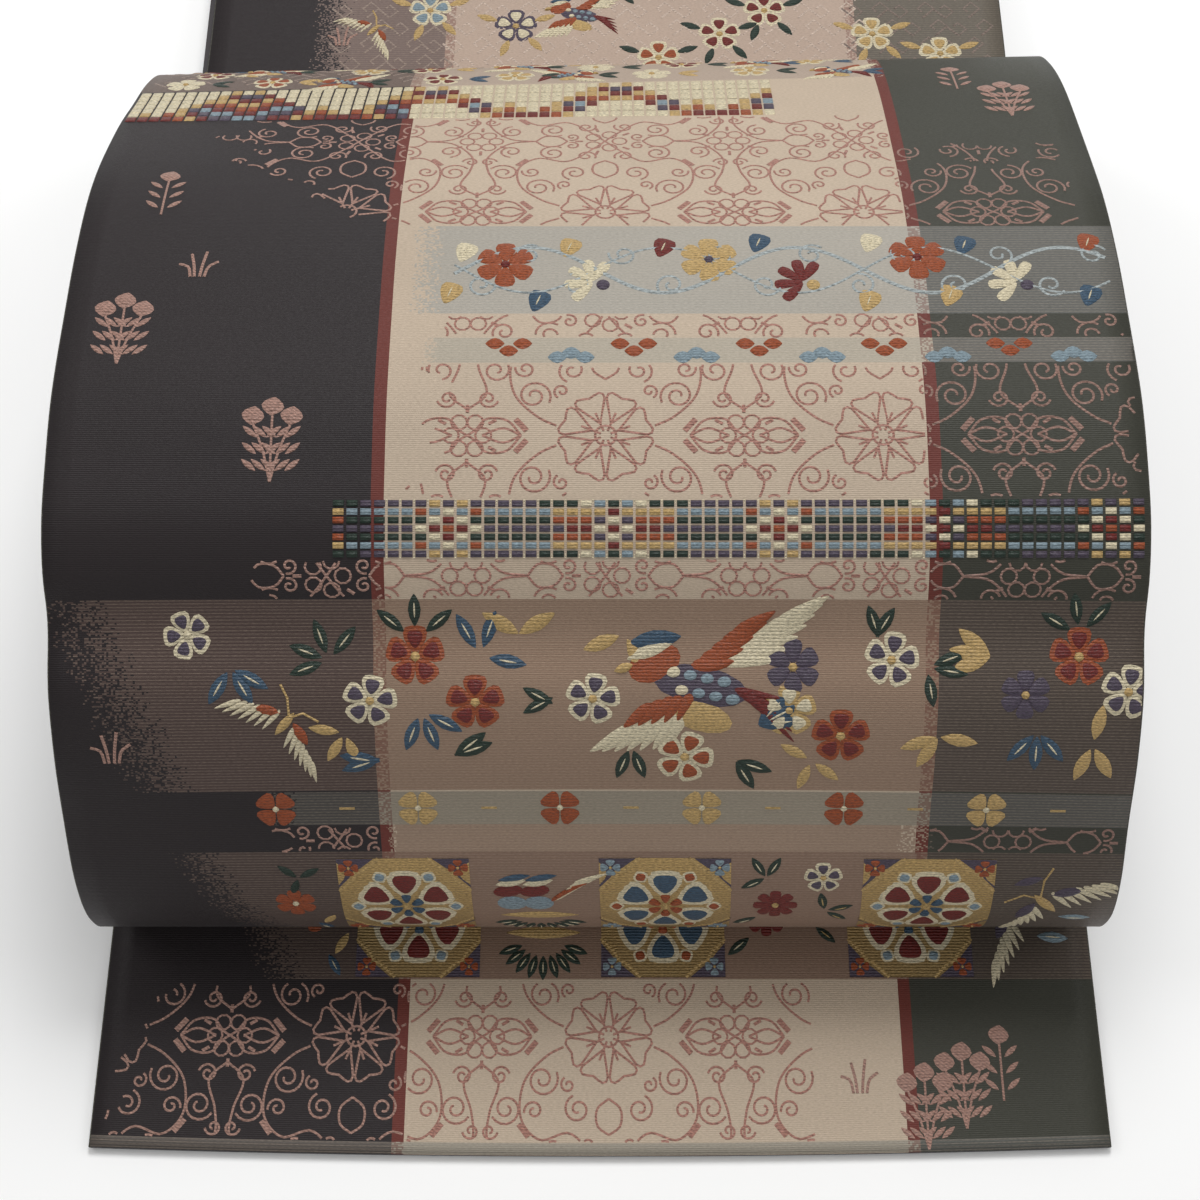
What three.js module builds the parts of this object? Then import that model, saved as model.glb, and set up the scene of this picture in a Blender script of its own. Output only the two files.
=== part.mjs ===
// A double-woven obi sash, 310 mm wide and about 4.4 m long, set out on a table as it is tied:
// the end lies flat at the front, the drum loop arches over it, and the rest runs back and is
// folded up under the run that leaves the drum.
// Frame: millimetres, +X across the cloth, +Y from the end of the sash towards its folded length,
// +Z up. The origin is the middle of the footprint, on the table.
// The sash is two cloths sewn together along their edges: a patterned face and a plain back. Both
// follow one seam line, a path in the YZ plane, with the face on its outer side.
import * as THREE from "three";

// ---- driving dimensions ----
const SASH_WIDTH = 310;
const CLOTH_THICK = 1.0; // each of the two cloths
const SEAM_GAP = 0.3; // between the cloths, and between one stretch and the next
const END_LENGTH = 235; // the flat end, most of it under the drum
const RETURN_RISE = 2.9; // seam line of the returning layer above that of the flat end
const HAIRPIN_BULGE = 2.6; // radius of the soft turn inside the drum
const RUN_LENGTH = 500; // the run on top of the folded length
const ACROSS_STEPS = 8; // sections across the width

const PLY = SEAM_GAP / 2 + CLOTH_THICK; // from the seam line to the outside of either cloth
const END_SEAM = PLY; // the flat end lies on the table
const RETURN_SEAM = END_SEAM + RETURN_RISE;

// The drum's seam line, from where the returning layer lifts off to its foot at the back.
const DRUM_SECTION = [
  { along: 112, up: RETURN_SEAM, note: "returning layer lifts off" },
  { along: 97, up: 4.3, note: "under the lower edge" },
  { along: 82, up: 5.9, note: "lower edge rolls" },
  { along: 71, up: 10.2, note: "roll" },
  { along: 65.2, up: 18.5, note: "roll" },
  { along: 63.3, up: 30, note: "lower front" },
  { along: 64.2, up: 39, note: "lower front" },
  { along: 69, up: 51.5, note: "lower front" },
  { along: 80.7, up: 68.6, note: "front" },
  { along: 92.7, up: 85.5, note: "front" },
  { along: 105.6, up: 98.3, note: "swell below the crease" },
  { along: 120.4, up: 106.9, note: "soft crease" },
  { along: 133, up: 119.5, note: "above the crease" },
  { along: 147.1, up: 128.1, note: "shoulder" },
  { along: 163.7, up: 132.6, note: "shoulder" },
  { along: 181.8, up: 135.3, note: "crown" },
  { along: 213.4, up: 133.8, note: "crown" },
  { along: 236.4, up: 131.6, note: "crown" },
  { along: 262.9, up: 125.9, note: "back of the crown" },
  { along: 298.7, up: 111, note: "back slope" },
  { along: 323.2, up: 98.7, note: "back slope" },
  { along: 345, up: 85.4, note: "back edge rolls" },
  { along: 359.6, up: 73, note: "back edge" },
  { along: 371, up: 57, note: "back fall" },
  { along: 379, up: 40, note: "back fall" },
  { along: 387, up: 25.5, note: "back fall" },
];

// Hidden layers of the folded length, bottom to top. Each row gives its thickness, how far its
// ends stand in from the footprint, and which end shares a fold with the layer above.
const HIDDEN_LAYERS = [
  { thick: 2.2, front_in: 3.5, back_in: 9.0, fold_above: "front" },
  { thick: 2.2, front_in: 2.0, back_in: 1.5, fold_above: "back" },
  { thick: 2.2, front_in: 5.5, back_in: 3.0, fold_above: "front" },
  { thick: 2.2, front_in: 4.0, back_in: 4.5, fold_above: "back" },
  { thick: 2.2, front_in: 7.0, back_in: 2.5, fold_above: "front" },
  { thick: 3.4, front_in: 6.0, back_in: 16.0, fold_above: "none" },
];

const STACK_FRONT = 400;
const STACK_HEIGHT = HIDDEN_LAYERS.reduce((sum, layer) => sum + layer.thick, 0);
const RUN_SEAM = STACK_HEIGHT + SEAM_GAP + PLY;
const RUN_START = 408;
const RUN_END = RUN_START + RUN_LENGTH;
const RUN_TURN = PLY + 0.4; // radius of the fold at the far end of the run
const FOOTPRINT = RUN_END + RUN_TURN + PLY;

// How the drum departs from one section across its width.
const BACK_EDGE_TWIST = 3.2; // the right back shoulder stands this much prouder, the left as much less
const MIDDLE_SAG = 2.6; // the middle of the front stands in this much from its edges
const END_BOW = 2.6; // the end's cut edge bows out this much in the middle

// ---- the seam line ----

// Points about `step` apart on a smooth line through the given places.
function smoothLine(places, step) {
  const curve = new THREE.CatmullRomCurve3(
    places.map(({ along, up }) => new THREE.Vector3(0, along, up)),
    false,
    "centripetal",
  );
  const count = Math.round(curve.getLength() / step);
  return curve.getSpacedPoints(count);
}

// Points on an arc in the YZ plane; angles in degrees from +Y, turning towards +Z.
function arcLine({ along, up, radius, from, to, steps }) {
  return Array.from({ length: steps + 1 }, (_, i) => {
    const angle = THREE.MathUtils.degToRad(from + ((to - from) * i) / steps);
    return new THREE.Vector3(
      0,
      along + radius * Math.cos(angle),
      up + radius * Math.sin(angle),
    );
  });
}

const HAIRPIN_AT = END_LENGTH - HAIRPIN_BULGE;
const SEAM_LINES = {
  end: [
    new THREE.Vector3(0, 0, END_SEAM),
    new THREE.Vector3(0, 60, END_SEAM),
    new THREE.Vector3(0, 120, END_SEAM),
    new THREE.Vector3(0, HAIRPIN_AT - 12, END_SEAM),
  ],
  return: [
    new THREE.Vector3(0, HAIRPIN_AT - 12, END_SEAM),
    ...smoothLine(
      [
        { along: HAIRPIN_AT - 6, up: END_SEAM },
        { along: HAIRPIN_AT, up: END_SEAM + 0.1 },
        { along: HAIRPIN_AT + 2.2, up: END_SEAM + 1.2 },
        { along: HAIRPIN_AT + HAIRPIN_BULGE, up: END_SEAM + 2.6 },
        { along: HAIRPIN_AT + 1.8, up: END_SEAM + 4.1 },
        { along: HAIRPIN_AT - 1.4, up: END_SEAM + 4.8 },
        { along: HAIRPIN_AT - 9, up: END_SEAM + 4.2 },
        { along: HAIRPIN_AT - 24, up: RETURN_SEAM + 0.2 },
        { along: HAIRPIN_AT - 34, up: RETURN_SEAM },
      ],
      1.2,
    ),
    new THREE.Vector3(0, 150, RETURN_SEAM),
    new THREE.Vector3(0, DRUM_SECTION[0].along, RETURN_SEAM),
  ],
  drum: smoothLine(
    [
      ...DRUM_SECTION,
      { along: 400, up: RUN_SEAM + 0.7 },
      { along: RUN_START, up: RUN_SEAM },
    ],
    7,
  ),
  run: [
    new THREE.Vector3(0, RUN_START, RUN_SEAM),
    ...[0.25, 0.5, 0.75].map(
      (share) =>
        new THREE.Vector3(0, RUN_START + share * RUN_LENGTH, RUN_SEAM),
    ),
    ...arcLine({
      along: RUN_END,
      up: RUN_SEAM - RUN_TURN,
      radius: RUN_TURN,
      from: 90,
      to: -90,
      steps: 10,
    }),
    new THREE.Vector3(0, RUN_END - 9, RUN_SEAM - 2 * RUN_TURN),
  ],
};

// ---- a cloth that follows a seam line ----

const smoothstep = THREE.MathUtils.smoothstep;

// How far a point of the drum stands off the plain section, at `across` from -1 to 1.
function drumStandOff(point, across) {
  const nearBack =
    smoothstep(point.y, 270, 345) * (1 - smoothstep(point.y, 362, 398));
  const nearFront =
    smoothstep(point.z, 30, 80) * (1 - smoothstep(point.y, 120, 230));
  return (
    BACK_EDGE_TWIST * across * nearBack -
    MIDDLE_SAG * (1 - across * across) * nearFront
  );
}

function endBow(point, across) {
  return -END_BOW * (1 - across * across) * (1 - smoothstep(point.y, 0, 55));
}

// The line's points, trimmed at both ends by half a seam gap, with the normal on the face side.
function withNormals(line) {
  const trim = SEAM_GAP / 2;
  const points = line.map((p) => p.clone());
  const last = points.length - 1;
  points[0].addScaledVector(
    line[1].clone().sub(line[0]).normalize(),
    trim,
  );
  points[last].addScaledVector(
    line[last - 1].clone().sub(line[last]).normalize(),
    trim,
  );
  return points.map((point, i) => {
    const before = points[Math.max(i - 1, 0)];
    const after = points[Math.min(i + 1, last)];
    const tangent = after.clone().sub(before).normalize();
    return { point, normal: new THREE.Vector3(0, -tangent.z, tangent.y) };
  });
}

// A closed wall between two offsets from the seam line, swept across the width.
function clothGeometry(stretch, low, high) {
  const stations = withNormals(SEAM_LINES[stretch]);
  const rows = ACROSS_STEPS + 1;
  const positions = [];
  for (const offset of [low, high])
    for (let row = 0; row < rows; row++) {
      const across = (2 * row) / ACROSS_STEPS - 1;
      for (const { point, normal } of stations) {
        const off = offset + (stretch === "drum" ? drumStandOff(point, across) : 0);
        const bow = stretch === "end" ? endBow(point, across) : 0;
        positions.push(
          (across * SASH_WIDTH) / 2,
          point.y + normal.y * off + bow,
          point.z + normal.z * off,
        );
      }
    }
  const count = stations.length;
  const at = (side, row, i) => (side * rows + row) * count + i;
  const faces = [];
  const quad = (a, b, c, d) => faces.push(a, b, c, a, c, d);
  for (let row = 0; row < rows - 1; row++)
    for (let i = 0; i < count - 1; i++) {
      quad(at(1, row, i), at(1, row + 1, i), at(1, row + 1, i + 1), at(1, row, i + 1));
      quad(at(0, row, i), at(0, row, i + 1), at(0, row + 1, i + 1), at(0, row + 1, i));
    }
  for (let i = 0; i < count - 1; i++) {
    quad(at(0, 0, i), at(1, 0, i), at(1, 0, i + 1), at(0, 0, i + 1));
    const far = rows - 1;
    quad(at(0, far, i), at(0, far, i + 1), at(1, far, i + 1), at(1, far, i));
  }
  for (let row = 0; row < rows - 1; row++) {
    quad(at(0, row, 0), at(0, row + 1, 0), at(1, row + 1, 0), at(1, row, 0));
    const end = count - 1;
    quad(at(0, row, end), at(1, row, end), at(1, row + 1, end), at(0, row + 1, end));
  }
  return new THREE.BufferGeometry()
    .setAttribute("position", new THREE.Float32BufferAttribute(positions, 3))
    .setIndex(faces);
}

// ---- the folded length: hidden layers in one solid, with a rounded end for each fold ----

// The places up one end of the stack, as how far in and how high.
function stackEnd(side) {
  const key = side === "front" ? "front_in" : "back_in";
  const places = [];
  let low = 0;
  HIDDEN_LAYERS.forEach((layer, i) => {
    const high = low + layer.thick;
    const soft = layer.thick * 0.42;
    const foldsBelow = i > 0 && HIDDEN_LAYERS[i - 1].fold_above === side;
    if (!foldsBelow)
      places.push([layer[key] + soft, low], [layer[key], low + soft]);
    if (layer.fold_above !== side)
      places.push([layer[key], high - soft], [layer[key] + soft, high]);
    low = high;
  });
  return places;
}

function foldedLengthGeometry() {
  const outline = new THREE.Shape();
  const back = stackEnd("back").map(([inset, up]) => [FOOTPRINT - inset, up]);
  const front = stackEnd("front").map(([inset, up]) => [STACK_FRONT + inset, up]);
  [...back, ...front.reverse()].forEach(([along, up], i) =>
    i ? outline.lineTo(along, up) : outline.moveTo(along, up),
  );
  outline.closePath();
  const geometry = new THREE.ExtrudeGeometry(outline, {
    depth: SASH_WIDTH,
    bevelEnabled: false,
  });
  // The shape's x and y become Y and Z, and its depth runs along X.
  geometry.applyMatrix4(
    new THREE.Matrix4().makeBasis(
      new THREE.Vector3(0, 1, 0),
      new THREE.Vector3(0, 0, 1),
      new THREE.Vector3(1, 0, 0),
    ),
  );
  return geometry.translate(-SASH_WIDTH / 2, 0, 0);
}

// ---- the sash ----

const FACE_SILK = new THREE.MeshStandardMaterial({
  color: 0xb5a48f,
  roughness: 0.62,
  metalness: 0.05,
});
const BACK_SILK = new THREE.MeshStandardMaterial({
  color: 0x33302c,
  roughness: 0.7,
  metalness: 0,
});

const sash = new THREE.Group();
sash.position.set(0, -(FOOTPRINT - END_BOW) / 2, 0);

function addPiece(name, geometry, material) {
  const mesh = new THREE.Mesh(geometry, material);
  mesh.name = name;
  sash.add(mesh);
}

for (const stretch of Object.keys(SEAM_LINES)) {
  addPiece(`face_${stretch}`, clothGeometry(stretch, SEAM_GAP / 2, PLY), FACE_SILK);
  addPiece(`back_${stretch}`, clothGeometry(stretch, -PLY, -SEAM_GAP / 2), BACK_SILK);
}
addPiece("folded_length", foldedLengthGeometry(), BACK_SILK);

export default sash;
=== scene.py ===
"""A double-woven obi sash set out as it is tied: its end flat in front, the drum loop over it."""

import math
import random

import bpy
import numpy as np
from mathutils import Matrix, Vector


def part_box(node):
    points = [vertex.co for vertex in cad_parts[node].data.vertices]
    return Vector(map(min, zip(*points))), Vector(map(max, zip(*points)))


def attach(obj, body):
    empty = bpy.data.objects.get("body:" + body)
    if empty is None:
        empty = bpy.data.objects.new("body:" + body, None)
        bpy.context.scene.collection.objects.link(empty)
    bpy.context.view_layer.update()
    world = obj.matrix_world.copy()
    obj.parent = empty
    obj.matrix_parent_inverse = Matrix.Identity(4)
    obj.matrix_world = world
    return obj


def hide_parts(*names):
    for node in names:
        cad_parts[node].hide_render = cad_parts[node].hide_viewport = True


bl_info = {
    "name": "Obi sash",
    "version": (1, 0, 0),
    "blender": (4, 5, 0),
    "location": "View3D > Sidebar > Obi",
    "description": "Weaves a double obi sash with scrollwork, mosaic strips and flower bands",
    "category": "Object",
}

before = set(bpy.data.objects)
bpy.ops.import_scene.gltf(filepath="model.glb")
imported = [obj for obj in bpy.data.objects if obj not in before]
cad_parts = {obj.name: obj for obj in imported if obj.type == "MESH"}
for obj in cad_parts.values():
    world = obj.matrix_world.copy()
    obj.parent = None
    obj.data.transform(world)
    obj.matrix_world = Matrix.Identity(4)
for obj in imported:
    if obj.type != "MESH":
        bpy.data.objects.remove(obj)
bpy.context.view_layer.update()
MM = 0.001

# ---- the cut of the sash, in millimetres ----

SASH_WIDTH = 310.0
HALF_WIDTH = SASH_WIDTH / 2
CLOTH_THICK = 1.0
SEAM_GAP = 0.3
PLY = SEAM_GAP / 2 + CLOTH_THICK  # from the seam line to the outside of either cloth
END_LENGTH = 235.0  # the flat end, most of it under the drum
HAIRPIN_AT = END_LENGTH - 2.6
RETURN_RISE = 2.9
RETURN_SEAM = PLY + RETURN_RISE
END_BOW = 2.6  # the end's cut edge bows out this much in the middle
STEP = 3.0  # between two rows of the cloth's mesh
FRONT_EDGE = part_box("back_end")[0][1] / MM + END_BOW  # where the end's corners lie

# The drum's seam line: how far along from the end's corners, and how high.
DRUM_SECTION = [
    {"along": 112, "up": RETURN_SEAM},
    {"along": 97, "up": 4.3},
    {"along": 82, "up": 5.9},
    {"along": 71, "up": 10.2},
    {"along": 65.2, "up": 18.5},
    {"along": 63.3, "up": 30},
    {"along": 64.2, "up": 39},
    {"along": 69, "up": 51.5},
    {"along": 80.7, "up": 68.6},
    {"along": 92.7, "up": 85.5},
    {"along": 105.6, "up": 98.3},
    {"along": 120.4, "up": 106.9},
    {"along": 133, "up": 119.5},
    {"along": 147.1, "up": 128.1},
    {"along": 163.7, "up": 132.6},
    {"along": 181.8, "up": 135.3},
    {"along": 213.4, "up": 133.8},
    {"along": 236.4, "up": 131.6},
    {"along": 262.9, "up": 125.9},
    {"along": 298.7, "up": 111},
    {"along": 323.2, "up": 98.7},
    {"along": 345, "up": 85.4},
    {"along": 359.6, "up": 73},
    {"along": 371, "up": 57},
    {"along": 379, "up": 40},
    {"along": 387, "up": 25.5},
]
LIP_HEIGHT = 18.5  # where the drum's lower lip turns under; lengths up the drum start here

# Hidden layers of the folded length, bottom to top: the height of each layer's middle, how far its
# front and back folds stand in, and how far it has slipped sideways.
FOLDED_LAYERS = [
    {"up": 1.15, "front_in": 3.5, "back_in": 9.0, "slip": -0.8},
    {"up": 3.4, "front_in": 2.0, "back_in": 1.5, "slip": 0.9},
    {"up": 5.6, "front_in": 5.5, "back_in": 3.0, "slip": -1.4},
    {"up": 7.8, "front_in": 4.0, "back_in": 4.5, "slip": 0.4},
    {"up": 10.0, "front_in": 7.0, "back_in": 2.5, "slip": 1.5},
    {"up": 12.9, "front_in": 6.0, "back_in": 16.0, "slip": -0.5},
]
STACK_FRONT = 400.0
STACK_HEIGHT = 14.4
RUN_SEAM = STACK_HEIGHT + SEAM_GAP + PLY
RUN_START = 408.0
RUN_END = RUN_START + 500.0
RUN_TURN = PLY + 0.4
FOOTPRINT = RUN_END + RUN_TURN + PLY

# How the cloth departs from one section across its width.
BACK_EDGE_TWIST = 3.2  # the right back shoulder stands this much prouder, the left as much less
MIDDLE_SAG = 2.6  # the middle of the front stands in this much from its edges
DRUM_LEAN = -1.1  # the drum has shifted this far to the left
RUN_LEAN = 2.9  # and the run behind it this far to the right

# Soft creases across the drum: how far up the drum, how deep at the left edge, in the middle and
# at the right edge, and how wide.
DRUM_CREASES = [
    {"up_drum": 119, "left": -1.5, "middle": -0.1, "right": -0.9, "wide": 9},
    {"up_drum": 103, "left": 1.0, "middle": 0.15, "right": 0.5, "wide": 12},
    {"up_drum": 168, "left": -0.5, "middle": -0.15, "right": 0.1, "wide": 22},
    {"up_drum": 262, "left": 0.3, "middle": -0.5, "right": -0.3, "wide": 26},
    {"up_drum": 334, "left": -0.7, "middle": 0.2, "right": 0.6, "wide": 16},
]

# The three fields of the face, across the width.
LEFT_STRIPE = (-63.4, -59.7)
RIGHT_STRIPE = (93.7, 97.4)

# The bands of the face, up the drum from its lower lip. The end repeats them from END_START, and
# the run from RUN_REPEAT.
HEM_STRIP = (-51.5, -48.0)
MEDALLION_BAND = (0.4, 42.6)
BLOSSOM_STRIP = (51.8, 63.2)
BIRD_BAND = (63.7, 122.2)
MOSAIC_STRIP = (134.7, 152.0)
TRIANGLE_STRIP = (194.7, 203.5)
VINE_BAND = (212.3, 247.3)
ARCH_MOSAIC = (313.2, 343.4)
UPPER_BIRD_BAND = (344.4, 430.0)
FRET_BAND = (430.0, 525.0)
END_START = 51.5
RUN_REPEAT = 525.0


# ---- small helpers ----


def smooth_between(value, low, high):
    share = np.clip((np.asarray(value, float) - low) / (high - low), 0, 1)
    return share * share * (3 - 2 * share)


def smooth_line(points, step):
    """Places about step apart on a centripetal Catmull-Rom line through points."""
    points = np.asarray(points, float)
    first = 2 * points[0] - points[1]
    last = 2 * points[-1] - points[-2]
    line = []
    padded = np.vstack([first, points, last])
    for i in range(1, len(padded) - 2):
        p0, p1, p2, p3 = padded[i - 1 : i + 3]
        t1 = np.linalg.norm(p1 - p0) ** 0.5
        t2 = t1 + np.linalg.norm(p2 - p1) ** 0.5
        t3 = t2 + np.linalg.norm(p3 - p2) ** 0.5
        for t in np.linspace(t1, t2, max(2, int(np.linalg.norm(p2 - p1) / 0.5)), endpoint=False):
            a1 = (t1 - t) / t1 * p0 + t / t1 * p1
            a2 = (t2 - t) / (t2 - t1) * p1 + (t - t1) / (t2 - t1) * p2
            a3 = (t3 - t) / (t3 - t2) * p2 + (t - t2) / (t3 - t2) * p3
            b1 = (t2 - t) / t2 * a1 + t / t2 * a2
            b2 = (t3 - t) / (t3 - t1) * a2 + (t - t1) / (t3 - t1) * a3
            line.append((t2 - t) / (t2 - t1) * b1 + (t - t1) / (t2 - t1) * b2)
    line.append(points[-1])
    return even_out(np.array(line), step)


def even_out(line, step):
    """The same line with its places the same distance apart."""
    lengths = np.concatenate([[0], np.cumsum(np.linalg.norm(np.diff(line, axis=0), axis=1))])
    count = max(2, int(round(lengths[-1] / step)))
    at = np.linspace(0, lengths[-1], count + 1)
    return np.column_stack([np.interp(at, lengths, line[:, k]) for k in range(line.shape[1])])


class SashPath:
    """The seam line from the sash's end to its far fold, and the cloth's surface round it."""

    def __init__(self):
        end = [(0, PLY), (60, PLY), (120, PLY), (HAIRPIN_AT - 14, PLY)]
        hairpin = [
            (HAIRPIN_AT - 12, PLY),
            (HAIRPIN_AT - 6, PLY),
            (HAIRPIN_AT, PLY + 0.1),
            (HAIRPIN_AT + 2.2, PLY + 1.2),
            (HAIRPIN_AT + 2.6, PLY + 2.6),
            (HAIRPIN_AT + 1.8, PLY + 4.1),
            (HAIRPIN_AT - 1.4, PLY + 4.8),
            (HAIRPIN_AT - 9, PLY + 4.2),
            (HAIRPIN_AT - 24, RETURN_SEAM + 0.2),
            (HAIRPIN_AT - 34, RETURN_SEAM),
            (150, RETURN_SEAM),
        ]
        drum = [(row["along"], row["up"]) for row in DRUM_SECTION]
        drum += [(400, RUN_SEAM + 0.7), (RUN_START, RUN_SEAM)]
        turn = [
            (
                RUN_END + RUN_TURN * math.sin(angle),
                RUN_SEAM - RUN_TURN + RUN_TURN * math.cos(angle),
            )
            for angle in np.linspace(0, math.pi, 13)
        ]
        self.seam = np.vstack(
            [
                even_out(np.array(end, float), STEP),
                smooth_line(hairpin, 0.6)[1:-1],
                smooth_line(drum, STEP),
                even_out(np.array([(RUN_START, RUN_SEAM), (RUN_END, RUN_SEAM)], float), STEP)[1:-1],
                np.array(turn),
                [(RUN_END - 4, turn[-1][1]), (RUN_END - 9, turn[-1][1])],
            ]
        )
        tangent = np.gradient(self.seam, axis=0)
        tangent /= np.linalg.norm(tangent, axis=1)[:, None]
        self.normal = np.column_stack([-tangent[:, 1], tangent[:, 0]])
        face = self.seam + PLY * self.normal
        steps = np.linalg.norm(np.diff(face, axis=0), axis=1)
        self.length = np.concatenate([[0], np.cumsum(np.maximum(steps, 0.05))])
        self.lip = self._lip_length()

    def _lip_length(self):
        """The length along the cloth at which the drum's lip starts up the front."""
        along, up = self.seam.T
        rising = (along < 75) & (up > LIP_HEIGHT) & (self.length > END_LENGTH)
        return float(self.length[np.argmax(rising)])

    @property
    def total(self):
        return float(self.length[-1])

    def standoff(self, u, v, along, up):
        """How far the cloth stands off its plain section, over the drum only."""
        across = u / HALF_WIDTH
        on_drum = (v > self.lip - 30) & (along < RUN_START)
        near_back = smooth_between(along, 270, 345) * (1 - smooth_between(along, 362, 398))
        near_front = smooth_between(up, 30, 80) * (1 - smooth_between(along, 120, 230))
        off = BACK_EDGE_TWIST * across * near_back - MIDDLE_SAG * (1 - across**2) * near_front
        for crease in DRUM_CREASES:
            left = np.clip(-across, 0, 1) ** 1.5
            right = np.clip(across, 0, 1) ** 1.5
            depth = (
                crease["left"] * left
                + crease["right"] * right
                + crease["middle"] * (1 - left - right)
            )
            off = off + depth * np.exp(
                -(((v - self.lip - crease["up_drum"]) / crease["wide"]) ** 2)
            )
        return off * on_drum

    def place(self, u, v, off):
        """Points in metres at u across and v along the cloth, off the seam line by off."""
        u, v, off = np.broadcast_arrays(*(np.asarray(a, float) for a in (u, v, off)))
        along = np.interp(v, self.length, self.seam[:, 0])
        up = np.interp(v, self.length, self.seam[:, 1])
        normal_y = np.interp(v, self.length, self.normal[:, 0])
        normal_z = np.interp(v, self.length, self.normal[:, 1])
        across = u / HALF_WIDTH
        bow = -END_BOW * (1 - across**2) * (1 - smooth_between(v, 0, 55))
        on_drum = smooth_between(v, self.lip, self.lip + 60) * (
            1 - smooth_between(v, self.lip + 330, self.lip + 400)
        )
        on_run = smooth_between(v, self.lip + 380, self.lip + 470) * (
            1 - smooth_between(v, self.lip + 700, self.total)
        )
        lean = DRUM_LEAN * on_drum + RUN_LEAN * on_run
        off = off + self.standoff(u, v, along, up)
        return MM * np.stack(
            [u + lean, FRONT_EDGE + along + normal_y * off + bow, up + normal_z * off], axis=-1
        )


SASH = SashPath()


def new_piece(name, places, faces, material, uv=None, colours=None, smooth=True):
    """An object of these places and faces. uv and colours are one row for each place."""
    mesh = bpy.data.meshes.new(name)
    mesh.from_pydata([tuple(p) for p in places], [], faces)
    if uv is not None:
        layer = mesh.uv_layers.new(name="cloth")
        corners = np.empty(len(mesh.loops), dtype=np.int32)
        mesh.loops.foreach_get("vertex_index", corners)
        layer.data.foreach_set("uv", np.asarray(uv, float)[corners].ravel())
    if colours is not None:
        thread = mesh.color_attributes.new("thread", "FLOAT_COLOR", "POINT")
        thread.data.foreach_set("color", np.asarray(colours, float).ravel())
    mesh.polygons.foreach_set("use_smooth", [smooth] * len(mesh.polygons))
    mesh.materials.append(material)
    mesh.update()
    piece = bpy.data.objects.new(name, mesh)
    bpy.context.collection.objects.link(piece)
    return piece


# ---- pitches of the weave and the stitches, in millimetres ----

FACE_RIB_PITCH = 0.62
METAL_RIB_PITCH = 0.98
BACK_TWILL_PITCH = 1.1
EDGE_STITCH_PITCH = 2.6
FIGURE_RIB_PITCH = 0.95
FIGURE_TWILL_PITCH = 1.15

# ---- shader sums ----


class Wire:
    """A shader socket that can be used in sums."""

    def __init__(self, shop, socket):
        self.shop = shop
        self.socket = socket

    def _sum(self, operation, *others):
        node = self.shop.node("ShaderNodeMath", {"operation": operation}, self, *others)
        return Wire(self.shop, node.outputs[0])

    def __add__(self, other):
        return self._sum("ADD", other)

    __radd__ = __add__

    def __mul__(self, other):
        return self._sum("MULTIPLY", other)

    __rmul__ = __mul__

    def __sub__(self, other):
        return self._sum("SUBTRACT", other)

    def __rsub__(self, other):
        return self * -1 + other

    def __truediv__(self, other):
        return self._sum("DIVIDE", other)

    def __gt__(self, other):
        return self._sum("GREATER_THAN", other)

    def __lt__(self, other):
        return self._sum("LESS_THAN", other)

    def wave(self):
        return self._sum("SINE")

    def between(self, low, high):
        """1 where low < self < high, else 0."""
        return (self > low) * (self < high)

    def ramp(self, low, high):
        """0 at low and 1 at high, straight between and level outside."""
        node = self.shop.node("ShaderNodeMapRange", {"clamp": True}, self, low, high, 0.0, 1.0)
        return Wire(self.shop, node.outputs[0])


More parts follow.
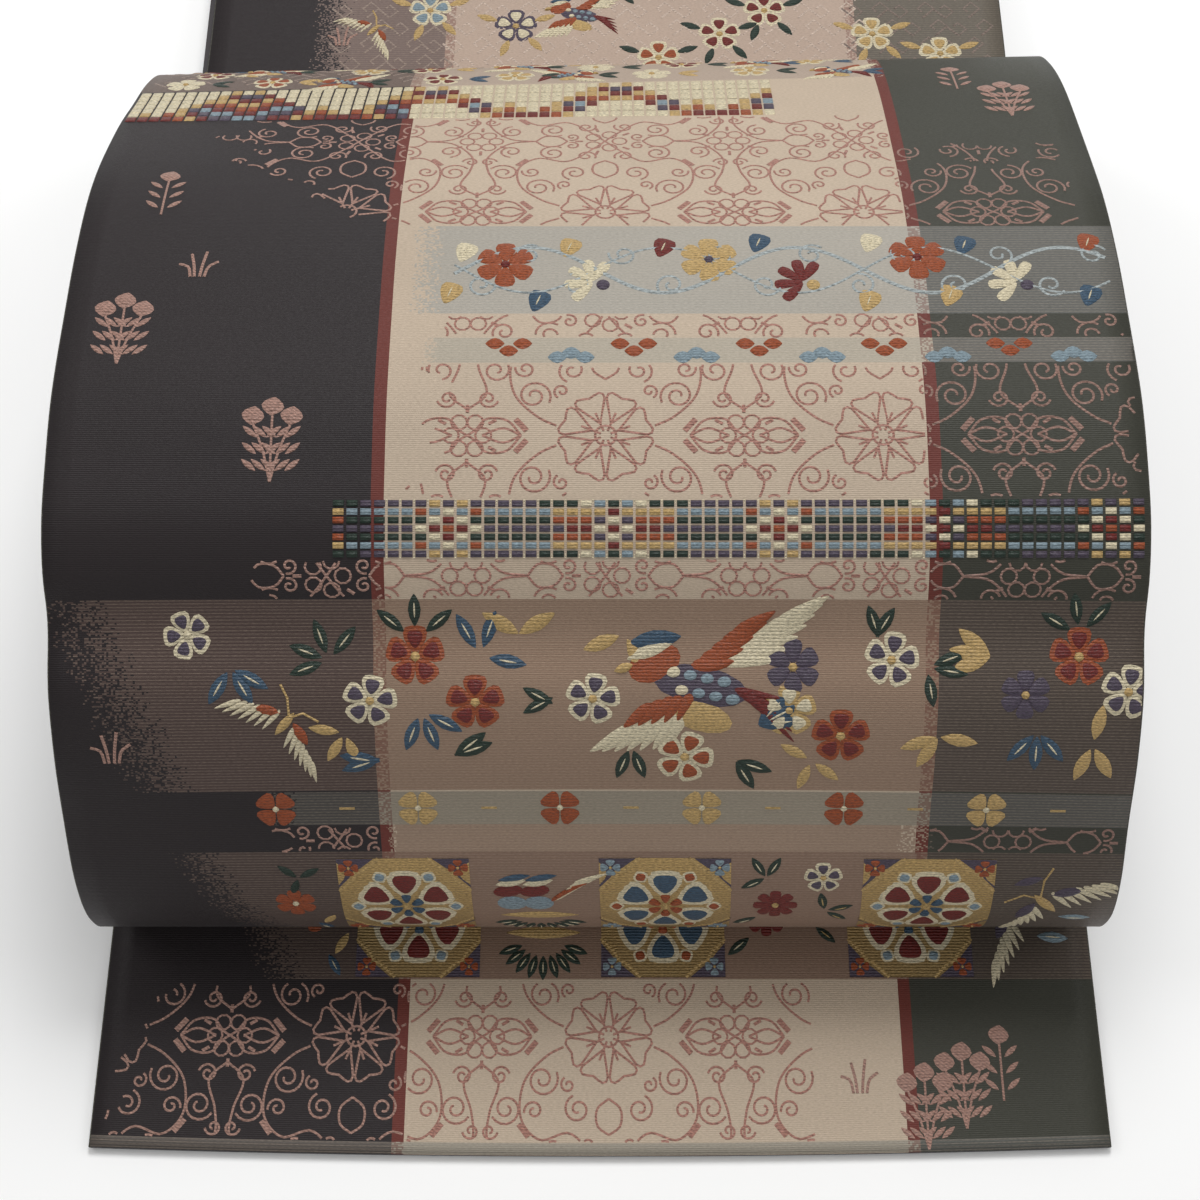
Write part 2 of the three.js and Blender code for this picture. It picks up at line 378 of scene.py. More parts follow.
class DyeShop:
    """Mixes one material out of nodes."""

    def __init__(self, name):
        self.material = bpy.data.materials.new(name)
        self.material.use_nodes = True
        self.tree = self.material.node_tree
        self.tree.nodes.clear()
        self.output = self.tree.nodes.new("ShaderNodeOutputMaterial")

    def node(self, kind, settings, *values, **named):
        """A node of that kind, its settings set first, then its sockets in order or by name."""
        node = self.tree.nodes.new(kind)
        for key, value in settings.items():
            setattr(node, key, value)
        for socket, value in zip(node.inputs, values):
            self.feed(socket, value)
        for key, value in named.items():
            self.feed(node.inputs[key.replace("_", " ")], value)
        return node

    def feed(self, socket, value):
        if isinstance(value, Wire):
            self.tree.links.new(value.socket, socket)
        elif value is not None:
            socket.default_value = value

    def uv(self):
        """The cloth's own places: millimetres across, and millimetres along."""
        node = self.node("ShaderNodeUVMap", {"uv_map": "cloth"})
        split = self.node("ShaderNodeSeparateXYZ", {}, Wire(self, node.outputs[0]))
        across = Wire(self, split.outputs[0]) * 100
        along = Wire(self, split.outputs[1]) * 100
        return across, along

    def join(self, x, y, z=0.0):
        return Wire(self, self.node("ShaderNodeCombineXYZ", {}, x, y, z).outputs[0])

    def noise(self, place, scale, detail=2.0):
        node = self.node("ShaderNodeTexNoise", {}, Vector=place, Scale=scale, Detail=detail)
        return Wire(self, node.outputs[0])

    def grain(self, place):
        """A number from 0 to 1 that is new in every unit square of place."""
        whole = self.node("ShaderNodeVectorMath", {"operation": "FLOOR"}, place)
        node = self.node(
            "ShaderNodeTexWhiteNoise", {
                "noise_dimensions": "2D"
            }, Vector=Wire(self, whole.outputs[0])
        )
        return Wire(self, node.outputs[0])

    def mix(self, share, first, second, blend="MIX"):
        """first where share is 0 and second where it is 1; both are colours."""
        node = self.node("ShaderNodeMix", {"data_type": "RGBA", "blend_type": blend})
        self.feed(node.inputs[0], share)
        self.feed(node.inputs[6], first if isinstance(first, Wire) else (*first[:3], 1))
        self.feed(node.inputs[7], second if isinstance(second, Wire) else (*second[:3], 1))
        return Wire(self, node.outputs[2])

    def bump(self, height, strength, distance):
        node = self.node(
            "ShaderNodeBump", {}, Strength=strength, Distance=distance, Height=height
        )
        return Wire(self, node.outputs[0])

    def finish(self, colour, normal=None, roughness=0.6, metallic=0.0, sheen=0.0, specular=0.4):
        shader = self.node("ShaderNodeBsdfPrincipled", {})
        self.feed(
            shader.inputs["Base Color"], colour if isinstance(colour, Wire) else (*colour[:3], 1)
        )
        self.feed(shader.inputs["Roughness"], roughness)
        self.feed(shader.inputs["Metallic"], metallic)
        self.feed(shader.inputs["Specular IOR Level"], specular)
        self.feed(shader.inputs["Sheen Weight"], sheen)
        self.feed(shader.inputs["Sheen Roughness"], 0.4)
        if normal is not None:
            self.feed(shader.inputs["Normal"], normal)
        self.tree.links.new(shader.outputs[0], self.output.inputs[0])
        return self.material


# ---- settings ----


def colour_setting(name, description, default):
    return bpy.props.FloatVectorProperty(
        name=name, description=description, default=default, subtype="COLOR", min=0, max=1
    )


def length_setting(name, description, default):
    return bpy.props.FloatProperty(
        name=name, description=description, default=default * MM, subtype="DISTANCE", unit="LENGTH"
    )


class ObiGroundSettings(bpy.types.PropertyGroup):
    """Colours of the woven grounds."""

    dark: colour_setting("Dark field", "Left field of the face", (0.017, 0.012, 0.013))
    beige: colour_setting("Beige field", "Middle field of the face", (0.48, 0.385, 0.29))
    green: colour_setting("Green field", "Right field of the face", (0.040, 0.040, 0.029))
    stripe: colour_setting("Stripe", "Stripes between the fields", (0.13, 0.026, 0.018))
    lining: colour_setting("Back cloth", "Plain back of the sash", (0.022, 0.018, 0.020))
    edge: colour_setting("Edge", "Sewn edge along both sides", (0.03, 0.028, 0.02))


class ObiThreadSettings(bpy.types.PropertyGroup):
    """Colours of the figuring threads."""

    rust: colour_setting("Rust", "Orange petals and triangles", (0.30, 0.062, 0.014))
    red: colour_setting("Red", "Deep red petals and tiles", (0.145, 0.011, 0.007))
    cream: colour_setting("Cream", "Outlines, wings and light tiles", (0.66, 0.58, 0.40))
    gold: colour_setting("Gold", "Yellow leaves and grounds", (0.50, 0.335, 0.13))
    pale_blue: colour_setting("Pale blue", "Light blue tiles and petals", (0.21, 0.28, 0.32))
    blue: colour_setting("Blue", "Blue leaves and petals", (0.035, 0.076, 0.125))
    green: colour_setting("Green", "Leaves and green tiles", (0.010, 0.027, 0.016))
    purple: colour_setting("Purple", "Plum petals and tiles", (0.070, 0.052, 0.080))
    pink: colour_setting("Pink", "Scrolls and sprigs on the dark field", (0.42, 0.24, 0.19))
    rose: colour_setting("Rose", "Scrolls on the beige field", (0.40, 0.19, 0.145))


class ObiSizeSettings(bpy.types.PropertyGroup):
    """Sizes of the woven figures."""

    scroll_line: length_setting("Scroll line", "Width of a scroll's line", 0.72)
    tile_across: length_setting("Tile across", "Pitch of the mosaic across the cloth", 3.87)
    tile_along: length_setting("Tile along", "Pitch of the mosaic along the cloth", 2.47)


def settings():
    return bpy.context.scene.obi_ground, bpy.context.scene.obi_thread, bpy.context.scene.obi_size


# ---- cloth materials ----


def weave_bump(shop, across, along, strength=0.35):
    """Ribs of weft with the thread's own unevenness."""
    threads = shop.noise(shop.join(across * 1.1, along * 4.2), 1.0, 2.0)
    ribs = (along * (2 * math.pi / FACE_RIB_PITCH)).wave() * 0.25
    return shop.bump(threads + ribs, strength, 0.0004)


def face_cloth_material():
    """The patterned ground of the face: three fields, two stripes, and the bands across them."""
    ground = settings()[0]
    shop = DyeShop("figured_face_silk")
    across, along = shop.uv()
    lip = SASH.lip
    on_end = along < END_LENGTH + 60
    on_repeat = along > lip + RUN_REPEAT
    up = along - on_end * END_START - (1 - on_end) * lip - on_repeat * RUN_REPEAT
    left = across < LEFT_STRIPE[0]
    right = across > RIGHT_STRIPE[1]
    stripe = across.between(*LEFT_STRIPE) + across.between(*RIGHT_STRIPE)

    def by_field(dark, beige, green):
        return shop.mix(right, shop.mix(left, beige, dark), green)

    threads = shop.noise(shop.join(across * 0.9, along * 3.4), 1.0, 1.0)
    slow = shop.noise(shop.join(across * 0.012, along * 0.03), 1.0, 3.0)
    colour = by_field(ground.dark, ground.beige, ground.green)
    colour = shop.mix(stripe, colour, ground.stripe)
    grain = shop.grain(shop.join(across / 0.62, along / 0.45))
    # band: from, to, the place where its left edge is half woven, how far that edge leans with
    # height, the width of its broken edge, where it ends at the right, and its three colours
    bands = [
        (*HEM_STRIP, -160, 0, 3, 170, (0.10, 0.085, 0.075), (0.3, 0.27, 0.22), (0.09, 0.09, 0.08)),
        (
            *MEDALLION_BAND,
            -100,
            -0.45,
            16,
            170,
            (0.062, 0.040, 0.034),
            (0.22, 0.14, 0.10),
            (0.062, 0.046, 0.036),
        ),
        (42.6, 51.8, -60, 0, 3, 93.7, (0.1, 0.07, 0.06), (0.30, 0.21, 0.15), (0.1, 0.08, 0.06)),
        (
            *BLOSSOM_STRIP,
            -92,
            0,
            10,
            170,
            (0.060, 0.055, 0.050),
            (0.27, 0.235, 0.18),
            (0.085, 0.082, 0.074),
        ),
        (
            *BIRD_BAND,
            -124,
            -0.42,
            22,
            170,
            (0.070, 0.044, 0.038),
            (0.27, 0.18, 0.125),
            (0.070, 0.052, 0.042),
        ),
        (
            *TRIANGLE_STRIP,
            -48,
            0,
            5,
            170,
            (0.2, 0.18, 0.15),
            (0.39, 0.345, 0.275),
            (0.115, 0.11, 0.098),
        ),
        (
            *VINE_BAND,
            -50,
            0,
            10,
            170,
            (0.2, 0.18, 0.16),
            (0.355, 0.33, 0.285),
            (0.105, 0.105, 0.096),
        ),
        (
            *UPPER_BIRD_BAND,
            -190,
            0,
            10,
            92,
            (0.12, 0.085, 0.072),
            (0.38, 0.30, 0.24),
            (0.1, 0.09, 0.075),
        ),
        (
            *FRET_BAND,
            -108,
            0,
            16,
            170,
            (0.15, 0.105, 0.092),
            (0.42, 0.315, 0.25),
            (0.105, 0.09, 0.07),
        ),
    ]
    for low, high, start, lean, broken, stop, dark, beige, green in bands:
        edge = start + (up - low) * lean
        woven = ((across - edge) / broken + 0.5) > grain
        fading = ((stop - across) / 12 + 0.5) > grain
        shown = up.between(low, high) * woven * fading
        metal = (along * (2 * math.pi / METAL_RIB_PITCH)).wave().ramp(-0.2, 1.0) * threads
        tone = shop.mix(metal * 0.3, by_field(dark, beige, green), ground.beige)
        colour = shop.mix(shown, colour, tone)
    red_warp = across.between(*LEFT_STRIPE) + across.between(*RIGHT_STRIPE)
    colour = shop.mix(red_warp * 0.5 * (grain > 0.35), colour, ground.stripe)
    shade = threads.ramp(0.25, 0.75) * 0.24 + slow * 0.2 + 0.78
    colour = shop.mix(1.0, colour, shop.join(shade, shade, shade), "MULTIPLY")
    normal = weave_bump(shop, across, along)
    rough = 0.62 - threads * 0.16
    return shop.finish(colour, normal, roughness=rough, sheen=0.05, specular=0.3)


def back_cloth_material():
    ground, _, _ = settings()
    shop = DyeShop("plain_back_silk")
    across, along = shop.uv()
    threads = shop.noise(shop.join(across * 2.6, along * 2.0), 1.0, 2.0)
    twill = ((across + along) * (2 * math.pi / BACK_TWILL_PITCH)).wave().ramp(-1, 1)
    light = tuple(min(1, c * 2.1) for c in ground.lining)
    colour = shop.mix(threads * 0.6 + twill * 0.25, ground.lining, light)
    normal = shop.bump(threads + twill * 0.4, 0.3, 0.0003)
    return shop.finish(colour, normal, roughness=0.58 - threads * 0.12, sheen=0.15)


def edge_material():
    """The selvedges, whipped together."""
    ground, _, _ = settings()
    shop = DyeShop("sewn_edge_silk")
    across, along = shop.uv()
    stitch = (along * (2 * math.pi / EDGE_STITCH_PITCH)).wave().ramp(0.55, 0.8)
    threads = shop.noise(shop.join(across * 3, along * 3), 1.0, 2.0)
    light = tuple(c * 3.2 + 0.01 for c in ground.edge)
    colour = shop.mix(stitch * 0.45 + threads * 0.3, ground.edge, light)
    normal = shop.bump(threads + stitch * 0.4, 0.4, 0.0004)
    return shop.finish(colour, normal, roughness=0.6)


def figure_material(name, dash=0.0):
    """Satin figuring: each figure's own colour with the weft's ribs over it, darkened by uneven
    threads and by painted shade in the rib grooves and the gaps between stitches.
    """
    shop = DyeShop(name)
    across, along = shop.uv()
    attribute = shop.node("ShaderNodeAttribute", {"attribute_name": "thread"})
    colour = Wire(shop, attribute.outputs["Color"])
    metal = Wire(shop, attribute.outputs["Alpha"])
    threads = shop.noise(shop.join(across * 1.0, along * 3.0), 1.0, 2.0)
    ribs = (along * (2 * math.pi / FIGURE_RIB_PITCH)).wave().ramp(-1, 1)
    # painted shade: the colour darkens along the rib grooves and in the gaps between stitches, with
    # the threads' real unevenness mixed in
    shade = threads.ramp(0.3, 0.7) * 0.72 + ribs * 0.2 + 0.44
    colour = shop.mix(1.0, colour, shop.join(shade, shade, shade), "MULTIPLY")
    if dash:
        twill = ((across * 0.8 + along) * (2 * math.pi / FIGURE_TWILL_PITCH)).wave().ramp(-0.2, 0.3)
        colour = shop.mix((1 - twill) * dash, colour, (0.14, 0.09, 0.07))
    normal = shop.bump(threads + ribs * 0.5, 0.6, 0.0007)
    return shop.finish(
        colour, normal, roughness=0.5 - threads * 0.1, metallic=metal, sheen=0.05, specular=0.4
    )


# ---- cloths ----


def cloth_sheet(name, low, high, material, steps_across=42):
    """A closed cloth wall between two offsets from the seam line, over the whole length."""
    across = np.linspace(-HALF_WIDTH, HALF_WIDTH, steps_across + 1)
    lengths = SASH.length
    u, v = np.meshgrid(across, lengths)
    rows, columns = u.shape
    count = rows * columns
    places = np.vstack([SASH.place(u, v, off).reshape(-1, 3) for off in (low, high)])
    flat = np.column_stack([u.ravel(), v.ravel()]) / 100
    faces = []
    for r in range(rows - 1):
        for c in range(columns - 1):
            a = r * columns + c
            b, d, e = a + 1, a + columns, a + columns + 1
            faces.append((count + a, count + b, count + e, count + d))
            faces.append((a, d, e, b))
    for r in range(rows - 1):
        a, d = r * columns, (r + 1) * columns
        faces.append((a, count + a, count + d, d))
        b, e = a + columns - 1, d + columns - 1
        faces.append((b, e, count + e, count + b))
    for c in range(columns - 1):
        faces.append((c, c + 1, count + c + 1, count + c))
        f = (rows - 1) * columns + c
        faces.append((f, count + f, count + f + 1, f + 1))
    return new_piece(name, places, faces, material, uv=np.vstack([flat, flat]))


def make_face_cloth():
    piece = cloth_sheet("face_cloth", SEAM_GAP / 2, PLY, face_cloth_material())
    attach(piece, "root")
    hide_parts("face_end", "face_return", "face_drum", "face_run")
    return piece


def make_back_cloth():
    piece = cloth_sheet("back_cloth", -PLY, -SEAM_GAP / 2, back_cloth_material())
    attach(piece, "root")
    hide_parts("back_end", "back_return", "back_drum", "back_run")
    return piece


EDGE_RADIUS = (0.75, 1.12)  # of the sewn edge, across and through the cloth
EDGE_SIDES = 8


def make_sewn_edges():
    """A slim rolled edge along each side, where the two cloths are joined."""
    material = edge_material()
    for name, side in (("edge_left", -1), ("edge_right", 1)):
        turns = np.linspace(0, 2 * math.pi, EDGE_SIDES, endpoint=False)
        lengths = SASH.length
        u = side * (HALF_WIDTH - 0.1 + EDGE_RADIUS[0] * np.cos(turns))[None, :]
        off = (EDGE_RADIUS[1] * np.sin(turns))[None, :] * side
        v = lengths[:, None]
        places = SASH.place(u + 0 * v, v + 0 * u, off + 0 * v).reshape(-1, 3)
        flat = np.column_stack(
            [np.tile(turns / 100, len(lengths)), np.repeat(lengths / 100, EDGE_SIDES)]
        )
        faces = []
        for r in range(len(lengths) - 1):
            for k in range(EDGE_SIDES):
                a, b = r * EDGE_SIDES + k, r * EDGE_SIDES + (k + 1) % EDGE_SIDES
                faces.append((a, a + EDGE_SIDES, b + EDGE_SIDES, b))
        faces.append(tuple(range(EDGE_SIDES)))
        last = (len(lengths) - 1) * EDGE_SIDES
        faces.append(tuple(last + k for k in reversed(range(EDGE_SIDES))))
        piece = new_piece(name, places, faces, material, uv=flat)
        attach(piece, "root")


def folded_line():
    """The zigzag of the hidden length from its lowest layer up, as along, up and slip."""
    places = []
    for i, layer in enumerate(FOLDED_LAYERS):
        front = STACK_FRONT + layer["front_in"] + 1.3
        back = FOOTPRINT - layer["back_in"] - 1.3
        run = [(along, layer["up"], layer["slip"]) for along in np.linspace(back, front, 60)]
        if i % 2:
            run.reverse()
        places += run
        if i + 1 < len(FOLDED_LAYERS):
            above = FOLDED_LAYERS[i + 1]
            side = 1 if i % 2 else -1
            middle = (layer["up"] + above["up"]) / 2
            radius = (above["up"] - layer["up"]) / 2
            at = run[-1][0]
            for angle in np.linspace(-60, 60, 5):
                turn = math.radians(angle)
                slip = layer["slip"] + (above["slip"] - layer["slip"]) * (angle + 60) / 120
                places.append(
                    (at + side * radius * math.cos(turn), middle + radius * math.sin(turn), slip)
                )
    return np.array(places)


FOLDED_THICK = 2.06


def make_folded_cloth():
    """The rest of the sash, folded up under the run in one long zigzag of both cloths."""
    line = folded_line()
    tangent = np.gradient(line[:, :2], axis=0)
    tangent /= np.linalg.norm(tangent, axis=1)[:, None]
    normal = np.column_stack([-tangent[:, 1], tangent[:, 0]])
    steps = np.linalg.norm(np.diff(line[:, :2], axis=0), axis=1)
    lengths = np.concatenate([[0], np.cumsum(steps)])
    plies = [-0.5, -0.06, 0.0, 0.06, 0.5]  # across the thickness: the seam shows as a groove
    inset = [0.0, 0.0, 0.7, 0.0, 0.0]
    ring = [(1, share, deep) for share, deep in zip(plies, inset)]
    ring += [(-1, share, deep) for share, deep in zip(reversed(plies), reversed(inset))]
    places, flat = [], []
    for (along, up, slip), (ny, nz), length in zip(line, normal, lengths):
        for side, share, deep in ring:
            off = share * FOLDED_THICK
            u = side * (HALF_WIDTH - 0.4 - deep) + slip
            places.append((u * MM, (FRONT_EDGE + along + ny * off) * MM, (up + nz * off) * MM))
            flat.append((u / 100, length / 100))
    sides = len(ring)
    faces = []
    for r in range(len(line) - 1):
        for k in range(sides):
            a, b = r * sides + k, r * sides + (k + 1) % sides
            faces.append((a, b, b + sides, a + sides))
    faces.append(tuple(reversed(range(sides))))
    last = (len(line) - 1) * sides
    faces.append(tuple(last + k for k in range(sides)))
    piece = new_piece("folded_cloth", places, faces, back_cloth_material(), uv=flat, smooth=False)
    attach(piece, "root")
    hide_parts("folded_length")
    return piece


# ---- figures woven into the face ----


class Figures:
    """Gathers raised satin shapes and lines in the cloth's own places, then makes one piece."""

    def __init__(self, origin=None):
        self.origin = SASH.lip if origin is None else origin
        self.places, self.colours, self.faces = [], [], []

    def add(self, places, faces, colour, metal=0.0):
        first = len(self.places)
        self.places += places
        self.colours += [(*colour[:3], metal)] * len(places)
        self.faces += [tuple(first + k for k in face) for face in faces]

    def pad(self, kind, u, up, angle, length, width, colour, height=0.34, metal=0.0):
        """A raised shape with its middle at u, up, its long way turned by angle in degrees."""
        places, faces = PADS[kind]
        turn = math.radians(angle)
        made = []
        for x, y, z in places:
            a, b = x * length / 2, y * width / 2
            made.append(
                (
                    u + a * math.cos(turn) - b * math.sin(turn),
                    self.origin + up + a * math.sin(turn) + b * math.cos(turn),
                    z * height,
                )
            )
        self.add(made, faces, colour, metal)

    def ground(self, u, up, half, low, high):
        """A flat square of ground that follows the cloth, from one colour up to another."""
        steps = 20
        at = np.linspace(-half, half, steps + 1)
        first = len(self.places)
        for b in at:
            share = 0.5 + 0.5 * b / half
            shade = [x + (y - x) * share for x, y in zip(low, high)]
            self.places += [(u + a, self.origin + up + b, 0.04) for a in at]
            self.colours += [(*shade, 0.25)] * (steps + 1)
        for r in range(steps):
            for c in range(steps):
                a = first + r * (steps + 1) + c
                self.faces.append((a, a + 1, a + steps + 2, a + steps + 1))

    def rimmed(self, kind, u, up, angle, length, width, rim, fill, height=0.3):
        """A shape with an outline of another thread."""
        self.pad(kind, u, up, angle, length, width, rim, height * 0.75)
        self.pad(kind, u, up, angle, length * 0.76, width * 0.76, fill, height * 1.5)

    def line(self, points, width, colour, height=0.13):
        """A low ridge along points."""
        points = np.asarray(points, float)
        if len(points) < 2:
            return
        way = np.gradient(points, axis=0)
        way /= np.maximum(np.linalg.norm(way, axis=1), 1e-6)[:, None]
        side = np.column_stack([-way[:, 1], way[:, 0]]) * width / 2
        made, faces = [], []
        for (u, up), (du, dup) in zip(points, side):
            made += [
                (u + du, self.origin + up + dup, -0.02),
                (u, self.origin + up, height),
                (u - du, self.origin + up - dup, -0.02),
            ]
        for k in range(len(points) - 1):
            a = 3 * k
            faces += [(a, a + 1, a + 4, a + 3), (a + 1, a + 2, a + 5, a + 4)]
        self.add(made, [tuple(reversed(f)) for f in faces], colour)

    def make(self, name, material):
        u, v, off = np.array(self.places).T
        u = np.clip(u, -HALF_WIDTH + 0.2, HALF_WIDTH - 0.2)
        v = np.clip(v, 0.5, SASH.total)
        places = SASH.place(u, v, PLY + 0.04 + off)
        flat = np.column_stack([u, v]) / 100
        piece = new_piece(name, places, self.faces, material, uv=flat, colours=self.colours)
        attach(piece, "root")
        return piece


PADS = {}


def model_pads():
    """Models a domed disc with the mesh tools, then draws it out into each satin shape."""
    bpy.ops.object.select_all(action="DESELECT")
    bpy.ops.mesh.primitive_circle_add(vertices=14, radius=1, fill_type="NGON")
    disc = bpy.context.object
    bpy.ops.object.mode_set(mode="EDIT")
    bpy.ops.mesh.select_all(action="SELECT")
    bpy.ops.mesh.inset(thickness=0.28, depth=0)
    bpy.ops.transform.translate(value=(0, 0, 0.75))
    bpy.ops.mesh.inset(thickness=0.36, depth=0)
    bpy.ops.transform.translate(value=(0, 0, 0.25))
    bpy.ops.object.mode_set(mode="OBJECT")
    places = [tuple(vertex.co) for vertex in disc.data.vertices]
    faces = [tuple(face.vertices) for face in disc.data.polygons]
    bpy.data.objects.remove(disc, do_unlink=True)

    def drawn(shape):
        return [(*shape(x, y), z) for x, y, z in places], faces

    PADS["round"] = drawn(lambda x, y: (x, y))
    PADS["leaf"] = drawn(lambda x, y: (x, y * (1.02 - x * x) ** 0.5))
    PADS["petal"] = drawn(
        lambda x, y: (x - 0.16 * math.exp(-((y / 0.3) ** 2)) * (x > 0.4), y * (0.72 + 0.36 * x))
    )
    PADS["feather"] = drawn(lambda x, y: (x, y * (0.62 - 0.32 * x)))
    bpy.ops.mesh.primitive_plane_add(size=2)
    tile = bpy.context.object
    bpy.ops.object.mode_set(mode="EDIT")
    bpy.ops.mesh.select_all(action="SELECT")
    bpy.ops.mesh.inset(thickness=0.14, depth=0)
    bpy.ops.transform.translate(value=(0, 0, 1))
    bpy.ops.object.mode_set(mode="OBJECT")
    PADS["tile"] = (
        [tuple(vertex.co) for vertex in tile.data.vertices],
        [tuple(face.vertices) for face in tile.data.polygons],
    )
    bpy.data.objects.remove(tile, do_unlink=True)


def threads():
    thread = settings()[1]
    names = ("rust", "red", "cream", "gold", "pale_blue", "blue", "green", "purple", "pink", "rose")
    return {name: tuple(getattr(thread, name)) for name in names}


def blossom(work, u, up, size, petals, rim, fill, heart, turn=90.0):
    """A flower of petals round its heart; rim is None for plain petals."""
    for k in range(petals):
        angle = turn + 360 * k / petals
        a = math.radians(angle)
        at = (u + size * 0.30 * math.cos(a), up + size * 0.30 * math.sin(a))
        wide = size * 2.1 / petals
        if rim:
            work.rimmed("petal", *at, angle, size * 0.5, wide * 1.3, rim, fill)
        else:
            work.pad("petal", *at, angle, size * 0.48, wide * 1.3, fill)
    work.pad("round", u, up, 0, size * 0.17, size * 0.17, heart, 0.6)


def leaf(work, u, up, angle, length, colour, vein=None):
    work.pad("leaf", u, up, angle, length, length * 0.36, colour)
    if vein:
        work.pad("leaf", u, up, angle, length * 0.62, length * 0.07, vein, 0.5)


def spray(work, u, up, angles, reach, length, colour, vein=None):
    for angle in angles:
        a = math.radians(angle)
        leaf(work, u + reach * math.cos(a), up + reach * math.sin(a), angle, length, colour, vein)


def tile_colour(column, row, yarn):
    """The mosaic's repeat: two crosses, with stepped colours between them."""
    repeat = 24
    k = column % repeat
    from_a = min(k, repeat - k)
    from_b = abs(k - repeat // 2)
    level = abs(row - 3)
    if from_a <= 1:
        cross = [["rust", "red", "cream", "purple"], ["red", "cream", "pale_blue", "gold"]]
        return yarn[cross[from_a][level]]
    if from_b <= 1:
        cross = [["red", "cream", "red", "green"], ["cream", "purple", "gold", "pale_blue"]]
        return yarn[cross[from_b][level]]
    if from_a == 2:
        return yarn[["cream", "green", "rust", "purple"][level]]
    if from_b <= 4:
        return yarn[
            [
                "red" if from_b < 4 else "purple",
                "rust",
                "gold",
                "green" if from_b > 2 else "cream",
            ][level]
        ]
    return yarn[["purple", "green", "pale_blue", "green" if from_a > 6 else "purple"][level]]


def make_mosaics():
    yarn = threads()
    size = settings()[2]
    across, along = size.tile_across / MM, size.tile_along / MM
    dice = random.Random(7)
    for name, origin in (("mosaic", SASH.lip), ("mosaic_run", SASH.lip + RUN_REPEAT)):
        work = Figures(origin)
        first = -41.5
        for column in range(-8, 52):
            u = first + (column) * across
            if not -HALF_WIDTH + 1.5 < u < HALF_WIDTH - 1.5:
                continue
            for row in range(7):
                if u < -70 and dice.random() > 1.6 + (u + 52) / 22:
                    continue
                up = MOSAIC_STRIP[0] + along * (row + 0.5)
                work.pad(
                    "tile",
                    u,
                    up,
                    0,
                    across * 0.8,
                    along * 0.78,
                    tile_colour(column, row, yarn),
                    0.3,
                )
        beige = Figures(origin)
        for column in range(-5, 36):
            u = first + (column - 0.5) * across
            if LEFT_STRIPE[1] < u < RIGHT_STRIPE[0]:
                beige.line([(u, MOSAIC_STRIP[0]), (u, MOSAIC_STRIP[1])], 0.5, yarn["cream"], 0.2)
        beige.make(name + "_grid", FIGURE_SILK["satin"])
        rows = 7
        tall = (ARCH_MOSAIC[1] - ARCH_MOSAIC[0]) / rows
        for column in range(80):
            u = -HALF_WIDTH + 2.5 + column * across
            if u > 62 or (u > 40 and dice.random() > (62 - u) / 22):
                continue
            wave = 2.6 + 2.6 * math.cos(2 * math.pi * (u - 8) / 62)
            for row in range(rows):
                gap = row - wave
                if gap > 1.6:
                    colour = yarn["cream"]
                elif gap > 0.6:
                    colour = yarn["cream"] if (row + column) % 2 else yarn["gold"]
                else:
                    colour = yarn[
                        ("red", "rust", "gold", "red", "purple", "pale_blue")[(row + int(wave)) % 6]
                    ]
                if u > LEFT_STRIPE[0] and gap < -2.6:
                    colour = yarn["cream"]
                up = ARCH_MOSAIC[0] + tall * (row + 0.5)
                work.pad("tile", u, up, 0, across * 0.86, tall * 0.84, colour, 0.3)
        work.make(name + "_tiles", FIGURE_SILK["satin"])


def curl(u, up, size, start, turns, hand):
    """A spiral that winds in from its outside."""
    steps = int(18 * turns)
    return [
        (
            u + size * (1 - 0.8 * t / steps) * math.cos(
                start + hand * 2 * math.pi * turns * t / steps
            ),
            up + size * (1 - 0.8 * t / steps) * math.sin(
                start + hand * 2 * math.pi * turns * t / steps
            ),
        )
        for t in range(steps + 1)
    ]


